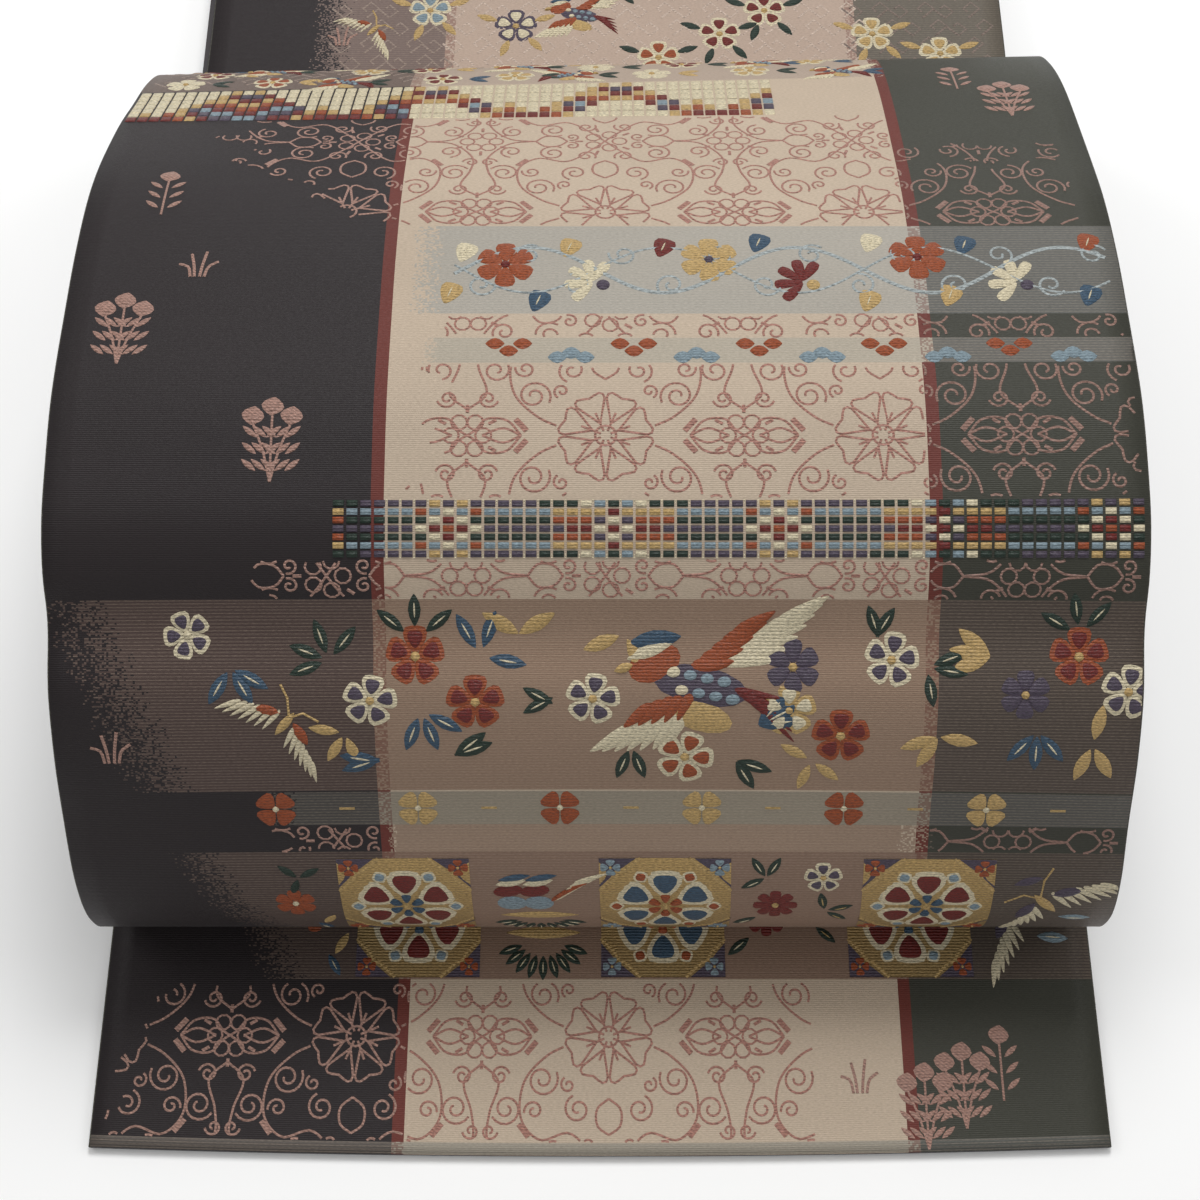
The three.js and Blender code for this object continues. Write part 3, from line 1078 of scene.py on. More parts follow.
def scroll_repeat():
    """One repeat of the arabesque, 78.6 mm across and 83 mm along, as lines and their widths."""
    lines = []
    for k in range(8):
        a = math.radians(22.5 + 45 * k)
        petal = []
        for t in np.linspace(-1, 1, 13):
            wide, reach = 4.4 * math.sin(
                math.pi * (1 - abs(t)) ** 0.8
            ) * np.sign(t), 4 + 10 * (1 - t * t) ** 0.6
            reach -= 1.6 * math.exp(-((t / 0.22) ** 2))
            petal.append(
                (reach * math.cos(a) - wide * math.sin(a), reach * math.sin(a) + wide * math.cos(a))
            )
        lines.append((petal, 1.0))
        lines.append(
            ([(1.5 * math.cos(a), 1.5 * math.sin(a)), (7.5 * math.cos(a), 7.5 * math.sin(a))], 1.0)
        )
    lines.append(
        ([(3 * math.cos(t), 3 * math.sin(t)) for t in np.linspace(0, 2 * math.pi, 17)], 1.0)
    )
    for middle, petals in (((39.3, 41.5), 6), ((0.0, 41.5), 5), ((39.3, 0.0), 6)):
        for k in range(petals):
            a = 2 * math.pi * k / petals
            at = (middle[0] + 4.6 * math.cos(a), middle[1] + 4.6 * math.sin(a))
            ring = [
                (at[0] + 2.3 * math.cos(t), at[1] + 2.3 * math.sin(t))
                for t in np.linspace(0, 2 * math.pi, 11)
            ]
            lines.append((ring, 0.9))
            b = a + math.pi / petals
            lines.append(
                (
                    [
                        (middle[0] + 7 * math.cos(b), middle[1] + 7 * math.sin(b)),
                        (middle[0] + 9.5 * math.cos(b), middle[1] + 9.5 * math.sin(b)),
                    ],
                    1.4,
                )
            )
    for sx in (-1, 1):
        for sy in (-1, 1):
            quarter = [
                curl(20.5, 12.5, 5.0, 3.6, 1.6, -1),
                curl(33.5, 11.5, 3.0, 3.4, 1.4, 1),
                curl(23.0, 21.5, 3.0, 0.2, 1.3, -1),
                curl(12.5, 14.0, 2.4, 5.2, 1.2, 1),
                curl(36.5, 27.5, 2.6, 3.0, 1.2, -1),
                curl(10.5, 38.5, 2.4, 1.2, 1.2, 1),
                curl(9.5, 21, 4.2, -1.2, 1.5, 1),
                curl(31.5, 21, 4.8, 0.5, 1.6, 1),
                curl(16.5, 33.5, 4.6, 2.2, 1.6, -1),
                curl(6.0, 31.5, 3.2, 3.6, 1.3, -1),
                curl(29.5, 34.5, 3.8, 4.8, 1.4, 1),
                smooth_line(
                    [
                        (14, 3),
                        (19, 5.5),
                        (26, 13),
                        (26.8, 24),
                        (21, 30),
                        (12, 28),
                        (4, 36),
                        (0, 41.5),
                    ],
                    1.6,
                ),
                smooth_line([(39.3, 8), (34, 13), (36.5, 22), (37, 30), (30, 40), (22, 41.5)], 1.6),
                smooth_line([(24, 0), (28, 4.6), (34, 5), (37, 1.5), (39.3, 0)], 1.4),
                smooth_line([(24, 0), (29, 2.2), (35, 0)], 1.4),
                smooth_line([(0, 18), (3.6, 21), (3.4, 26), (0, 28.5)], 1.4),
                smooth_line([(12, 41.5), (14.5, 38.5), (19, 38), (22, 41.5)], 1.4),
            ]
            for line in quarter:
                lines.append(([(sx * x, sy * y) for x, y in line], 1.0))
            lines.append(([(sx * 22.4, sy * 1.4), (sx * 25.6, sy * 5.0)], 2.4))
            lines.append(([(sx * 27.6, sy * 25.4), (sx * 24.6, sy * 29.2)], 2.2))
    return lines


def scroll_shown(u, up, on_end):
    """Whether the arabesque is woven at this place."""
    rough = 7 * math.sin(up * 0.31) + 5 * math.sin(up * 0.83 + u * 0.2)
    if on_end:
        return -48 < up < -0.5 and u < 66 and u > -151 + max(0, up + 22) * 0.9 + rough * 0.5
    if 42.8 < up < 51.6:
        return -96 + rough < u < LEFT_STRIPE[0] or u > RIGHT_STRIPE[1]
    if 122.4 < up < 134.2:
        return u > -100 + rough
    if 152.6 < up < 194.2:
        return u > -48 + rough * 0.6
    if 203.8 < up < 212:
        return u > -44
    if 247.6 < up < 312.6:
        if u < LEFT_STRIPE[0]:
            return u > -112 + rough + max(0, 285 - up) * 1.1
        return u < RIGHT_STRIPE[0] or (up < 288 + rough and u < 146)
    return False


def make_scrolls():
    yarn = threads()
    width = settings()[2].scroll_line / MM
    repeat = scroll_repeat()
    grounds = {
        "dark": (yarn["pink"], lambda u: u < LEFT_STRIPE[1]),
        "beige": (yarn["rose"], lambda u: LEFT_STRIPE[1] <= u < RIGHT_STRIPE[0]),
        "green": (tuple(0.75 * c for c in yarn["pink"]), lambda u: u >= RIGHT_STRIPE[0]),
    }
    spots = [
        ("end", END_START, [-17.1], True), ("drum", SASH.lip, [5 + 83 * k for k in range(5)], False)
    ]
    spots.append(("run", SASH.lip + RUN_REPEAT, [5 + 83 * k for k in range(5)], False))
    for place, origin, rows, on_end in spots:
        for ground, (colour, belongs) in grounds.items():
            work = Figures(origin)
            for row in rows:
                for column in (2.7 + 78.6 * k for k in (-2, -1, 0, 1, 2)):
                    for line, share in repeat:
                        stretch = []
                        for x, y in line:
                            u, up = column + x, row + y
                            inside = abs(u) < HALF_WIDTH - 1.5 and belongs(u) and scroll_shown(
                                u, up, on_end
                            )
                            if inside:
                                stretch.append((u, up))
                            elif stretch:
                                work.line(stretch, width * share, colour)
                                stretch = []
                        work.line(stretch, width * share, colour)
            if work.places:
                kind = "scroll" if ground != "beige" else "rose_scroll"
                work.make(f"scrolls_{place}_{ground}", FIGURE_SILK[kind])


def flying_bird(work, u, up, size, yarn, hand=1, crane=False):
    """A small bird in flight: a body, two fans of feathers, head and tail."""

    def at(x, y):
        return u + hand * x * size, up + y * size

    def turned(angle):
        return angle if hand > 0 else 180 - angle

    if not crane:
        for k in range(7):
            work.pad(
                "feather",
                *at(0.24 + 0.043 * k, 0.12 + 0.036 * k),
                turned(-2 + 6 * k),
                size * 0.34,
                size * 0.12,
                yarn["cream"],
            )
            work.pad(
                "feather",
                *at(-0.08 - 0.05 * k, -0.21 - 0.012 * k),
                turned(248 - 6 * k),
                size * 0.28,
                size * 0.11,
                yarn["cream"],
            )
        for k in range(5):
            work.pad(
                "feather",
                *at(0.10 + 0.045 * k, 0.10 + 0.045 * k),
                turned(8 + 6 * k),
                size * 0.24,
                size * 0.11,
                yarn["rust"],
                0.5,
            )
            work.pad(
                "feather",
                *at(-0.05 - 0.055 * k, -0.12 - 0.012 * k),
                turned(246 - 6 * k),
                size * 0.2,
                size * 0.1,
                yarn["rust"],
                0.5,
            )
            work.pad(
                "feather",
                *at(0.30 + 0.02 * k, -0.05 - 0.035 * k),
                turned(-12 - 9 * k),
                size * 0.3,
                size * 0.06,
                yarn["red"],
            )
        work.pad(
            "round", *at(0.03, -0.01), turned(-12), size * 0.46, size * 0.2, yarn["purple"], 0.3
        )
        for k in range(8):
            spot = at(-0.1 + 0.04 * k, 0.02 - 0.008 * k + 0.04 * (-1) ** k)
            work.pad(
                "round",
                *spot,
                0,
                size * 0.075,
                size * 0.06,
                yarn["cream" if k < 2 else "pale_blue"],
                0.6,
            )
        work.pad(
            "round", *at(0.02, -0.16), turned(-20), size * 0.34, size * 0.16, yarn["gold"], 0.4
        )
        work.pad("round", *at(-0.19, 0.10), turned(24), size * 0.26, size * 0.17, yarn["rust"], 0.5)
        work.pad("leaf", *at(-0.21, 0.16), turned(20), size * 0.24, size * 0.08, yarn["cream"], 0.7)
        work.pad("leaf", *at(-0.19, 0.205), turned(8), size * 0.26, size * 0.09, yarn["blue"], 0.6)
        work.pad(
            "leaf", *at(-0.335, 0.08), turned(200), size * 0.1, size * 0.045, yarn["gold"], 0.6
        )
        return
    for k in range(7):
        work.pad(
            "feather",
            *at(-0.14 - 0.075 * k, 0.05 + 0.03 * k),
            turned(228 - 5 * k),
            size * 0.3,
            size * 0.09,
            yarn["cream"],
        )
        work.pad(
            "feather",
            *at(0.04 + 0.04 * k, -0.16 - 0.07 * k),
            turned(-118 + 6 * k),
            size * 0.28,
            size * 0.09,
            yarn["cream"],
        )
    work.pad("leaf", *at(-0.18, 0.16), turned(165), size * 0.3, size * 0.12, yarn["rust"], 0.5)
    work.pad("leaf", *at(0.16, -0.12), turned(-62), size * 0.3, size * 0.12, yarn["rust"], 0.5)
    work.pad("leaf", *at(0.0, 0.0), turned(50), size * 0.34, size * 0.1, yarn["gold"], 0.5)
    work.line([at(0.08, 0.08), at(0.2, 0.12), at(0.36, 0.02)], 0.7, yarn["gold"], 0.3)
    work.line([at(0.05, 0.1), at(0.04, 0.3), at(-0.03, 0.45)], 0.7, yarn["gold"], 0.3)


def medallion(work, u, up, yarn, warm):
    """A square tile: gold ground, plum corners, and a six-petalled flower in two rings."""
    half = 19.6
    work.ground(u, up, half, tuple(0.62 * c for c in yarn["gold"]), yarn["gold"])
    for sx in (-1, 1):
        for sy in (-1, 1):
            corner = [(0, 0), (11, 0), (7, 3.4), (4.6, 4.6), (3.4, 7), (0, 11)]
            places = [
                (u + sx * (half - x), work.origin + up + sy * (half - y), 0.14) for x, y in corner
            ]
            ring = tuple(range(len(places)))
            work.add(places, [ring if sx * sy > 0 else ring[::-1]], yarn["purple"])
            edge = [
                (u + sx * (half - x), up + sy * (half - y))
                for x, y in ((12.5, 0), (8, 4.4), (5.6, 5.6), (4.4, 8), (0, 12.5))
            ]
            work.line(edge, 1.1, yarn["gold"], 0.3)
            blossom(
                work,
                u + sx * (half - 3.4),
                up + sy * (half - 3.4),
                6,
                4,
                None,
                yarn["rust" if warm else "pale_blue"],
                yarn["gold"],
            )
    outer, inner = (yarn["red"], yarn["blue"]) if warm else (yarn["blue"], yarn["rust"])
    for k in range(6):
        a = math.radians(90 + 60 * k)
        work.rimmed(
            "petal",
            u + 10 * math.cos(a),
            up + 10 * math.sin(a),
            90 + 60 * k,
            12.5,
            14.5,
            yarn["cream"],
            outer,
        )
        b = a + math.pi / 6
        bud = yarn["pale_blue"] if warm else yarn["rust"]
        work.rimmed(
            "leaf",
            u + 14.6 * math.cos(b),
            up + 14.6 * math.sin(b),
            120 + 60 * k,
            5,
            5,
            yarn["cream"],
            bud,
        )
        work.pad(
            "petal",
            u + 3.7 * math.cos(a),
            up + 3.7 * math.sin(a),
            90 + 60 * k,
            4.4,
            3.8,
            inner,
            0.75,
        )
    work.pad("round", u, up, 0, 2.4, 2.4, yarn["gold"], 1.0)


def make_medallion_band():
    yarn = threads()
    for name, origin in (("drum", SASH.lip), ("end", END_START), ("run", SASH.lip + RUN_REPEAT)):
        work = Figures(origin)
        middle = 20.6
        for u, warm in ((-57.6, True), (20.0, False), (98.4, True)):
            medallion(work, u, middle, yarn, warm)
        for shift in (0, 8):
            work.pad("round", -26 + shift, 22, 0, 9, 6.5, yarn["pale_blue"], 0.4)
            work.pad("round", -27 + shift, 27.5, 10, 9, 5, yarn["red"], 0.5)
            work.pad("leaf", -26 + shift, 31, 12, 9.5, 3.2, yarn["cream"], 0.5)
            work.pad("leaf", -25 + shift, 32.8, 12, 10, 2.6, yarn["blue"], 0.5)
        for k in range(6):
            work.pad("feather", -9 + 1.5 * k, 27 + 1.2 * k, 40 - 4 * k, 12, 2.2, yarn["cream"])
            work.pad("feather", -12 + 1.3 * k, 25.5 + 0.9 * k, 50 - 5 * k, 7, 2, yarn["rust"], 0.5)
        work.pad("leaf", -18, 15.5, 0, 24, 4, yarn["gold"], 0.4)
        for k in range(9):
            a = math.radians(200 + 17.5 * k)
            leaf(
                work,
                -18 + 11 * math.cos(a),
                13 + 9 * math.sin(a),
                math.degrees(a),
                8,
                yarn["green"],
                yarn["cream"],
            )
        spray(work, 50, 33, (60, 120, 210), 4.6, 8, yarn["green"], yarn["cream"])
        blossom(work, 53, 21, 13, 8, None, yarn["red"], yarn["gold"])
        blossom(work, 67, 33, 11, 5, yarn["cream"], yarn["purple"], yarn["gold"], 20)
        spray(work, 68, 18, (20, 100, 320), 5, 8, yarn["green"], yarn["gold"])
        leaf(work, 44, 11, 220, 9, yarn["green"], yarn["cream"])
        spray(work, -89, 33, (30, 140, 250), 4, 7, yarn["green"])
        blossom(work, -91, 22, 12, 6, None, yarn["rust"], yarn["cream"])
        leaf(work, -82, 12, 60, 8, yarn["gold"])
        leaf(work, -84, 5, 300, 8, yarn["blue"], yarn["cream"])
        flying_bird(work, 134, 22, 34, {**yarn, "rust": yarn["purple"]}, -1, crane=True)
        leaf(work, 128, 32, 200, 9, yarn["purple"])
        leaf(work, 144, 14, 355, 10, yarn["pale_blue"], yarn["cream"])
        work.make(f"medallions_{name}", FIGURE_SILK["satin"])


def make_bird_band():
    yarn = threads()
    for name, origin in (("drum", SASH.lip), ("run", SASH.lip + RUN_REPEAT)):
        work = Figures(origin)
        flying_bird(work, 28, 98, 60, yarn)
        flying_bird(work, -89, 86, 27, yarn, crane=True)
        for u, up in ((-51.5, 106), (-34.5, 92.5), (70, 82), (137, 106)):
            blossom(work, u, up, 16, 5, yarn["rust"], yarn["red"], yarn["gold"])
        for u, up in ((-64.5, 93), (-1, 93.5), (84, 105), (151, 96)):
            blossom(work, u, up, 15, 5, yarn["cream"], yarn["purple"], yarn["gold"], 80)
        blossom(work, 56, 103, 15, 6, None, yarn["purple"], yarn["gold"])
        blossom(work, 55, 90, 15, 5, yarn["gold"], yarn["cream"], yarn["gold"])
        blossom(work, 25.5, 75, 16, 5, yarn["cream"], yarn["rust"], yarn["gold"], 70)
        blossom(work, 122, 95, 14, 6, None, yarn["purple"], yarn["gold"])
        blossom(work, -116, 112, 13, 5, yarn["cream"], yarn["purple"], yarn["cream"], 40)
        green, blue, gold = yarn["green"], yarn["blue"], yarn["gold"]
        for u, up, angles, reach, length, colour in (
            (-51.5, 110, (40, 90, 140), 9, 10, green),
            (-76, 105, (50, 110, 160, 200), 7, 10, green),
            (-33, 106, (70, 120, 350), 8, 11, blue),
            (-14, 93, (150, 210), 3, 10, green),
            (-50, 90, (250, 290, 330), 8, 11, blue),
            (-40, 76, (20, 40), 5, 12, green),
            (-64, 74, (170, 200), 4, 12, blue),
            (-104, 103, (240, 300, 330), 7, 11, blue),
            (10, 79, (250, 290), 7, 10, green),
            (40, 74, (300, 340), 6, 11, green),
            (46, 85, (10, 30, 50), 7, 13, blue),
            (62, 74, (150, 250, 320), 6, 9, gold),
            (80, 112, (60, 110), 4, 10, green),
            (94, 103, (350, 20, 280), 7, 10, green),
            (112, 106, (140, 170, 200), 6, 12, gold),
            (137, 112, (50, 100, 150), 8, 10, green),
            (126, 84, (230, 270, 310), 7, 11, blue),
            (98, 82, (200, 240, 350), 6, 11, gold),
            (142, 80, (80, 250, 300), 7, 11, gold),
            (-72, 83, (240, 290, 170), 6, 9, gold),
            (-22, 112, (30, 150), 6, 12, gold),
            (8, 112, (300, 200), 7, 11, gold),
        ):
            spray(
                work,
                u,
                up,
                angles,
                reach,
                length,
                colour,
                yarn["cream"] if colour != gold else None,
            )
        work.make(f"bird_band_{name}", FIGURE_SILK["satin"])


def make_vine_band():
    yarn = threads()
    for name, origin in (("drum", SASH.lip), ("run", SASH.lip + RUN_REPEAT)):
        work = Figures(origin)
        pale = (0.36, 0.40, 0.40)
        for phase in (0, math.pi):
            vine = [(u, 229 + 9 * math.sin(u / 12.6 + phase)) for u in np.arange(-42, 153, 1.5)]
            work.line(vine, 1.3 if phase else 0.8, pale, 0.3)
        for k in range(14):
            work.line(
                curl(-34 + 14 * k, 229 + (6 if k % 2 else -6), 4.4, k, 1.3, 1 if k % 2 else -1),
                0.8,
                pale,
                0.25,
            )
        for u, up, colour in (
            (-27, 231, yarn["rust"]), (95.5, 234, yarn["rust"]), (33.5, 233, yarn["gold"])
        ):
            blossom(
                work,
                u,
                up,
                17,
                6,
                None,
                colour,
                yarn["red"] if colour != yarn["gold"] else yarn["purple"],
            )
        for u, colour, tip in (
            (-1, "cream", "purple"), (61, "red", "gold"), (124, "cream", "purple")
        ):
            for k in range(5):
                angle = 60 + 42 * k
                a = math.radians(angle)
                work.pad(
                    "petal",
                    u + 4.5 * math.cos(a),
                    224 + 5 * math.sin(a),
                    angle,
                    9,
                    4.6,
                    yarn[colour],
                )
            work.pad("round", u + 3, 223, 0, 4, 4, yarn[tip], 0.5)
        for u, up, colour in (
            (-17, 217, "blue"),
            (48.5, 240, "blue"),
            (110, 239, "blue"),
            (145, 219, "blue"),
            (-43, 220, "gold"),
            (80, 217, "gold"),
            (20, 238, "red"),
            (147, 240, "rust"),
            (-39, 236, "cream"),
            (82, 240, "cream"),
            (-8, 238, "gold"),
            (104, 219, "gold"),
        ):
            work.pad("petal", u, up, 70, 8.5, 8.5, yarn[colour])
            work.pad("leaf", u, up, 70, 5, 0.7, yarn["cream"], 0.55)
        for k in range(7):
            u = -25.3 + 36.2 * k - 18.1
            for side in (-4, 0, 4):
                if u > -40:
                    work.pad(
                        "leaf",
                        u + side,
                        196.6 + (1.5 if not side else 0),
                        0,
                        5.6,
                        4.2,
                        yarn["pale_blue"],
                    )
                if u + 18.1 < 150:
                    work.pad(
                        "leaf",
                        u + 18.1 + side,
                        201.4 - (2.6 if not side else 0),
                        0,
                        5.6,
                        4.0,
                        yarn["rust"],
                    )
        for k in range(7):
            u = -93.4 + 41.4 * k
            if u < 152:
                blossom(
                    work,
                    u,
                    57.4,
                    11.5,
                    4,
                    None,
                    yarn["rust" if k % 2 == 0 else "gold"],
                    yarn["cream"],
                    45,
                )
                work.line([(u + 18.5, 57.4), (u + 23, 57.4)], 0.8, yarn["gold"], 0.15)
        work.make(f"vine_and_strips_{name}", FIGURE_SILK["satin"])


def key_fret(work, low, high, left, right, colour):
    """Interlocking slanted keys."""
    pitch = 9.0
    for row in range(int((high - low) / pitch) + 1):
        for column in range(int((right - left) / pitch) + 1):
            u, up = left + column * pitch + (row % 2) * pitch / 2, low + row * pitch
            flip = 1 if column % 2 else -1
            key = [(-3.4, -3.4), (3.4, -3.4), (3.4, 1.2), (-1.2, 1.2), (-1.2, -1.2)]
            turned = [(0.7 * (x - flip * y), 0.7 * (x * flip + y)) for x, y in key]
            points = [(u + x, up + y) for x, y in turned]
            if all(low < q < high and abs(p) < HALF_WIDTH - 2 for p, q in points):
                work.line(points, 0.9, colour, 0.12)


def make_upper_bands():
    """The fret bands behind the drum's crown, with small birds, blossoms and leaves."""
    yarn = threads()
    work = Figures()
    light = (0.30, 0.225, 0.185)
    key_fret(work, 346, 428, -152, LEFT_STRIPE[0], light)
    key_fret(work, 431, 524, -104, LEFT_STRIPE[0], light)
    key_fret(work, 431, 524, RIGHT_STRIPE[1], 153, tuple(0.7 * c for c in light))
    key_fret(work, 431, 524, LEFT_STRIPE[1], RIGHT_STRIPE[0], (0.56, 0.44, 0.36))
    dice = random.Random(3)
    for row in (352, 368, 385, 402, 419):
        for k in range(9):
            u = -138 + 27 * k + dice.uniform(-6, 6)
            up = row + dice.uniform(-3, 3)
            if u > 88:
                continue
            if (k + row) % 3 == 0:
                flying_bird(work, u, up, 24, yarn, dice.choice((-1, 1)))
            else:
                fill = dice.choice(("rust", "red", "cream", "gold"))
                blossom(
                    work,
                    u,
                    up,
                    13,
                    5,
                    yarn["cream"] if fill != "cream" else None,
                    yarn[fill],
                    yarn["gold"],
                )
            spray(work, u + 9, up, (20, 330), 4, 8, yarn[dice.choice(("blue", "gold", "green"))])
    spots = [
        (20, 460, "rust"),
        (44, 472, "red"),
        (62, 484, "red"),
        (-36, 476, "cream"),
        (104, 472, "gold"),
        (130, 462, "gold"),
        (-70, 484, "pale_blue"),
        (0, 500, "rust"),
        (80, 506, "cream"),
        (-90, 508, "rust"),
    ]
    for u, up, fill in spots:
        blossom(
            work,
            u,
            up,
            16,
            5,
            yarn["cream"] if fill != "cream" else yarn["purple"],
            yarn[fill],
            yarn["gold"],
        )
        spray(
            work,
            u,
            up,
            (20, 160, 250, 310),
            12,
            9,
            yarn["green" if fill in ("rust", "red") else "gold"],
            None,
        )
    flying_bird(work, -92, 474, 22, yarn, crane=True)
    flying_bird(work, -12, 482, 34, yarn)
    work.make("upper_bands", FIGURE_SILK["satin"])


def make_sprigs():
    """Small grasses and buds, one by one in the plain fields."""
    yarn = threads()
    plain = [
        ("bud", -132, 261), ("grass", -118, 230), ("plant", -138, 203), ("plant", -92, 166),
        ("grass", -139, 78), ("plant", 135, 320), ("grass", -104, 470), ("bud", 120, 340),
    ]
    on_end = [("grass", 80, -30), ("plant", 112, -36), ("plant", 100, -42), ("bud", 124, -28)]
    for name, origin, spots in (
        ("drum", SASH.lip, plain),
        ("end", END_START, on_end),
        ("run", SASH.lip + RUN_REPEAT, plain[:6]),
    ):
        work = Figures(origin)
        for kind, u, up in spots:
            colour = yarn["pink"]
            if kind == "grass":
                for k, lean in enumerate((-3.4, -1.4, 1.2, 3.4)):
                    tall = (5, 9, 10, 6)[k]
                    work.line(
                        smooth_line(
                            [
                                (u + lean * 0.6, up - 4),
                                (u + lean * 0.9, up),
                                (u + lean * 1.7, up - 4 + tall),
                            ],
                            1.5,
                        ),
                        0.9,
                        colour,
                        0.2,
                    )
                continue
            stems = 1 if kind == "bud" else 3
            for k in range(stems):
                bend = (k - (stems - 1) / 2) * 5.5
                top = 9 + 3 * (k % 2)
                work.line(
                    smooth_line([(u, up - 9), (u + bend * 0.4, up), (u + bend, up + top)], 1.5),
                    0.7,
                    colour,
                    0.2,
                )
                work.rimmed("leaf", u + bend, up + top + 2, 80, 6, 6.5, colour, colour)
                for side in (-1, 1):
                    for level in (-4, 1, 6):
                        work.pad(
                            "leaf",
                            u + bend * 0.5 + side * 3.4,
                            up + level,
                            90 - side * 50,
                            5.5,
                            1.7,
                            colour,
                            0.25,
                        )
        work.make(f"sprigs_{name}", FIGURE_SILK["scroll"])


FIGURE_SILK = {}


def dye_figures():
    FIGURE_SILK["satin"] = figure_material("satin_figures")
    FIGURE_SILK["scroll"] = figure_material("twill_scrolls", 0.35)
    FIGURE_SILK["rose_scroll"] = figure_material("rose_scrolls", 0.15)


# ---- stage ----


FLOOR_SIZE = 12  # metres
FLOOR_DROP = 0.0004  # the floor lies this far under the sash, in metres
SKY_GLOW = 0.34
LAMPS_FACE = (0, -0.2, 0.05)  # the spot that every lamp faces, in metres
CAMERA_LENS = 60  # on a sensor 36 mm wide
CAMERA_AHEAD = 123.6  # from the end's corners to under the camera, in millimetres
CAMERA_HEIGHT = 0.6197  # metres
CAMERA_LOOKS_DOWN = 63.4  # degrees below level


def make_stage():
    """Floor, soft light and a camera that looks down on the drum."""
    scene = bpy.context.scene
    bpy.ops.mesh.primitive_plane_add(size=FLOOR_SIZE, location=(0, 0, -FLOOR_DROP))
    floor = bpy.context.object
    floor.name = "floor"
    shop = DyeShop("pale_floor")
    floor.data.materials.append(shop.finish((1.0, 1.0, 0.995), roughness=0.9, specular=0.1))
    world = bpy.data.worlds.new("studio")
    scene.world = world
    world.use_nodes = True
    world.node_tree.nodes["Background"].inputs[0].default_value = (1, 1, 1, 1)
    world.node_tree.nodes["Background"].inputs[1].default_value = SKY_GLOW
    # soft lamps: name, place, size and power
    lamps = [
        ("key", (0.15, 0.75, 1.5), 0.8, 19),
        ("left", (-1.3, 0.1, 1.1), 0.9, 5),
        ("right", (1.3, 0.0, 1.1), 0.9, 4),
        ("front", (0.0, -1.5, 1.2), 1.0, 2.5),
    ]
    for name, place, size, power in lamps:
        light = bpy.data.lights.new(name, "AREA")
        light.shape = "DISK"
        light.size = size
        light.energy = power
        lamp = bpy.data.objects.new(name, light)
        lamp.location = place
        aim = Vector(LAMPS_FACE) - Vector(place)
        lamp.rotation_euler = aim.to_track_quat("-Z", "Y").to_euler()
        scene.collection.objects.link(lamp)
    scene.view_settings.view_transform = "Standard"
    camera = bpy.data.objects.new("camera", bpy.data.cameras.new("camera"))
    camera.data.sensor_width = 36
    camera.data.lens = CAMERA_LENS
    camera.location = (0.0, (FRONT_EDGE - CAMERA_AHEAD) * MM, CAMERA_HEIGHT)
    camera.rotation_euler = (math.radians(90 - CAMERA_LOOKS_DOWN), 0, 0)
    camera.data.clip_start = 0.01
    scene.collection.objects.link(camera)
    scene.camera = camera


# ---- the add-on ----


class OBI_OT_stage(bpy.types.Operator):
    """Sets out the floor, the light and the camera."""

    bl_idname = "obi.stage"
    bl_label = "Set the stage"

    def execute(self, context):
        make_stage()
        return {"FINISHED"}


class OBI_OT_face_cloth(bpy.types.Operator):
    """Makes the figured face over the whole length."""

    bl_idname = "obi.face_cloth"
    bl_label = "Weave face cloth"

    def execute(self, context):
        make_face_cloth()
        return {"FINISHED"}


class OBI_OT_back_cloth(bpy.types.Operator):
    """Makes the plain dark back over the whole length."""

    bl_idname = "obi.back_cloth"
    bl_label = "Weave back cloth"

    def execute(self, context):
        make_back_cloth()
        return {"FINISHED"}


class OBI_OT_sewn_edges(bpy.types.Operator):
    """Joins the two cloths along both sides."""

    bl_idname = "obi.sewn_edges"
    bl_label = "Sew edges"

    def execute(self, context):
        make_sewn_edges()
        return {"FINISHED"}


class OBI_OT_folded_cloth(bpy.types.Operator):
    """Folds the hidden length under the run."""

    bl_idname = "obi.folded_cloth"
    bl_label = "Fold up the rest"

    def execute(self, context):
        make_folded_cloth()
        return {"FINISHED"}


class OBI_OT_ready_figures(bpy.types.Operator):
    """Models the satin shapes and dyes their silks."""

    bl_idname = "obi.ready_figures"
    bl_label = "Ready the figures"

    def execute(self, context):
        model_pads()
        dye_figures()
        return {"FINISHED"}


class OBI_OT_scrolls(bpy.types.Operator):
    """Lays the arabesque lines on the three fields."""

    bl_idname = "obi.scrolls"
    bl_label = "Weave scrolls"

    def execute(self, context):
        make_scrolls()
        return {"FINISHED"}


class OBI_OT_mosaics(bpy.types.Operator):
    """Lays both mosaic strips, tile by tile."""

    bl_idname = "obi.mosaics"
    bl_label = "Weave mosaics"

    def execute(self, context):
        make_mosaics()
        return {"FINISHED"}


class OBI_OT_medallions(bpy.types.Operator):
    """Lays the medallion band on the drum and the end."""

    bl_idname = "obi.medallions"
    bl_label = "Weave medallions"

    def execute(self, context):
        make_medallion_band()
        return {"FINISHED"}


class OBI_OT_bird_band(bpy.types.Operator):
    """Lays the birds, blossoms and leaves."""

    bl_idname = "obi.bird_band"
    bl_label = "Weave bird band"

    def execute(self, context):
        make_bird_band()
        return {"FINISHED"}


class OBI_OT_vine_band(bpy.types.Operator):
    """Lays the vine, the triangle strip and the blossom strip."""

    bl_idname = "obi.vine_band"
    bl_label = "Weave vine band"

    def execute(self, context):
        make_vine_band()
        return {"FINISHED"}


class OBI_OT_upper_bands(bpy.types.Operator):
    """Lays the fret bands behind the crown."""

    bl_idname = "obi.upper_bands"
    bl_label = "Weave upper bands"

    def execute(self, context):
        make_upper_bands()
        return {"FINISHED"}


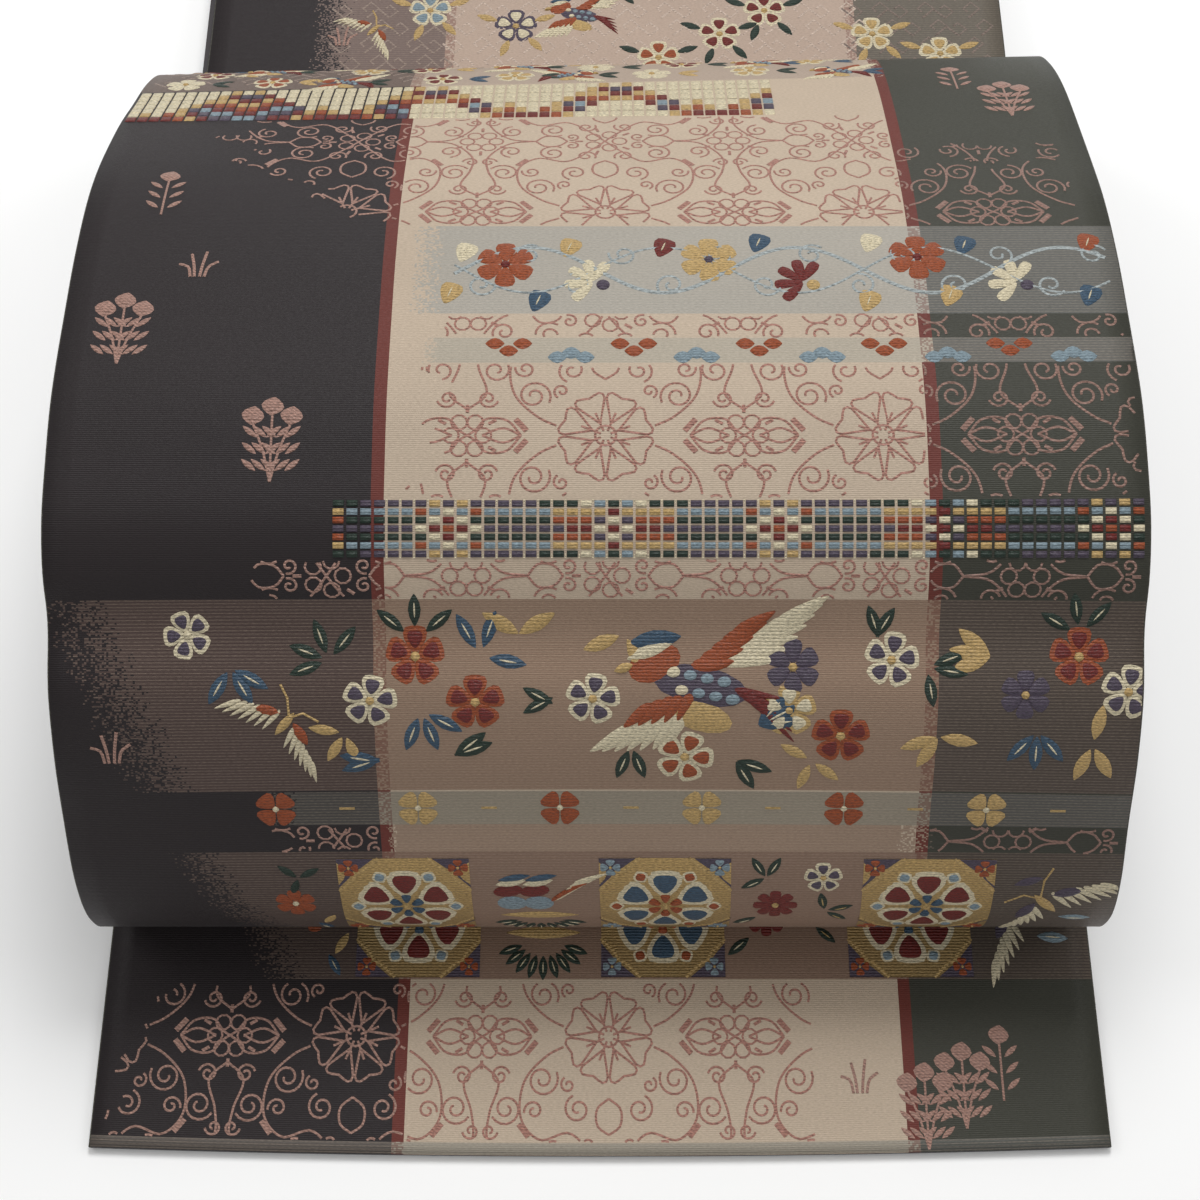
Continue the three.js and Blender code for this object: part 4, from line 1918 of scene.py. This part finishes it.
class OBI_OT_sprigs(bpy.types.Operator):
    """Lays the grasses and buds of the plain fields."""

    bl_idname = "obi.sprigs"
    bl_label = "Weave sprigs"

    def execute(self, context):
        make_sprigs()
        return {"FINISHED"}


SETTINGS = (ObiGroundSettings, ObiThreadSettings, ObiSizeSettings)
OPERATORS = (
    OBI_OT_stage,
    OBI_OT_face_cloth,
    OBI_OT_back_cloth,
    OBI_OT_sewn_edges,
    OBI_OT_folded_cloth,
    OBI_OT_ready_figures,
    OBI_OT_scrolls,
    OBI_OT_mosaics,
    OBI_OT_medallions,
    OBI_OT_bird_band,
    OBI_OT_vine_band,
    OBI_OT_upper_bands,
    OBI_OT_sprigs,
)


class OBI_PT_sash(bpy.types.Panel):
    """Settings and steps of the sash."""

    bl_idname = "OBI_PT_sash"
    bl_label = "Obi sash"
    bl_space_type = "VIEW_3D"
    bl_region_type = "UI"
    bl_category = "Obi"

    def draw(self, context):
        scene = context.scene
        for group in (scene.obi_ground, scene.obi_thread, scene.obi_size):
            box = self.layout.box()
            for key in group.bl_rna.properties.keys():
                if key not in ("rna_type", "name"):
                    box.prop(group, key)
        for operator in OPERATORS:
            self.layout.operator(operator.bl_idname)


def register():
    for kind in (*SETTINGS, *OPERATORS, OBI_PT_sash):
        bpy.utils.register_class(kind)
    bpy.types.Scene.obi_ground = bpy.props.PointerProperty(type=ObiGroundSettings)
    bpy.types.Scene.obi_thread = bpy.props.PointerProperty(type=ObiThreadSettings)
    bpy.types.Scene.obi_size = bpy.props.PointerProperty(type=ObiSizeSettings)


def unregister():
    for name in ("obi_size", "obi_thread", "obi_ground"):
        delattr(bpy.types.Scene, name)
    for kind in (OBI_PT_sash, *reversed(OPERATORS), *reversed(SETTINGS)):
        bpy.utils.unregister_class(kind)


def main():
    register()
    bpy.ops.obi.stage()
    bpy.ops.obi.face_cloth()
    bpy.ops.obi.back_cloth()
    bpy.ops.obi.sewn_edges()
    bpy.ops.obi.folded_cloth()
    bpy.ops.obi.ready_figures()
    bpy.ops.obi.scrolls()
    bpy.ops.obi.mosaics()
    bpy.ops.obi.medallions()
    bpy.ops.obi.bird_band()
    bpy.ops.obi.vine_band()
    bpy.ops.obi.upper_bands()
    bpy.ops.obi.sprigs()


if __name__ == "__main__":
    main()
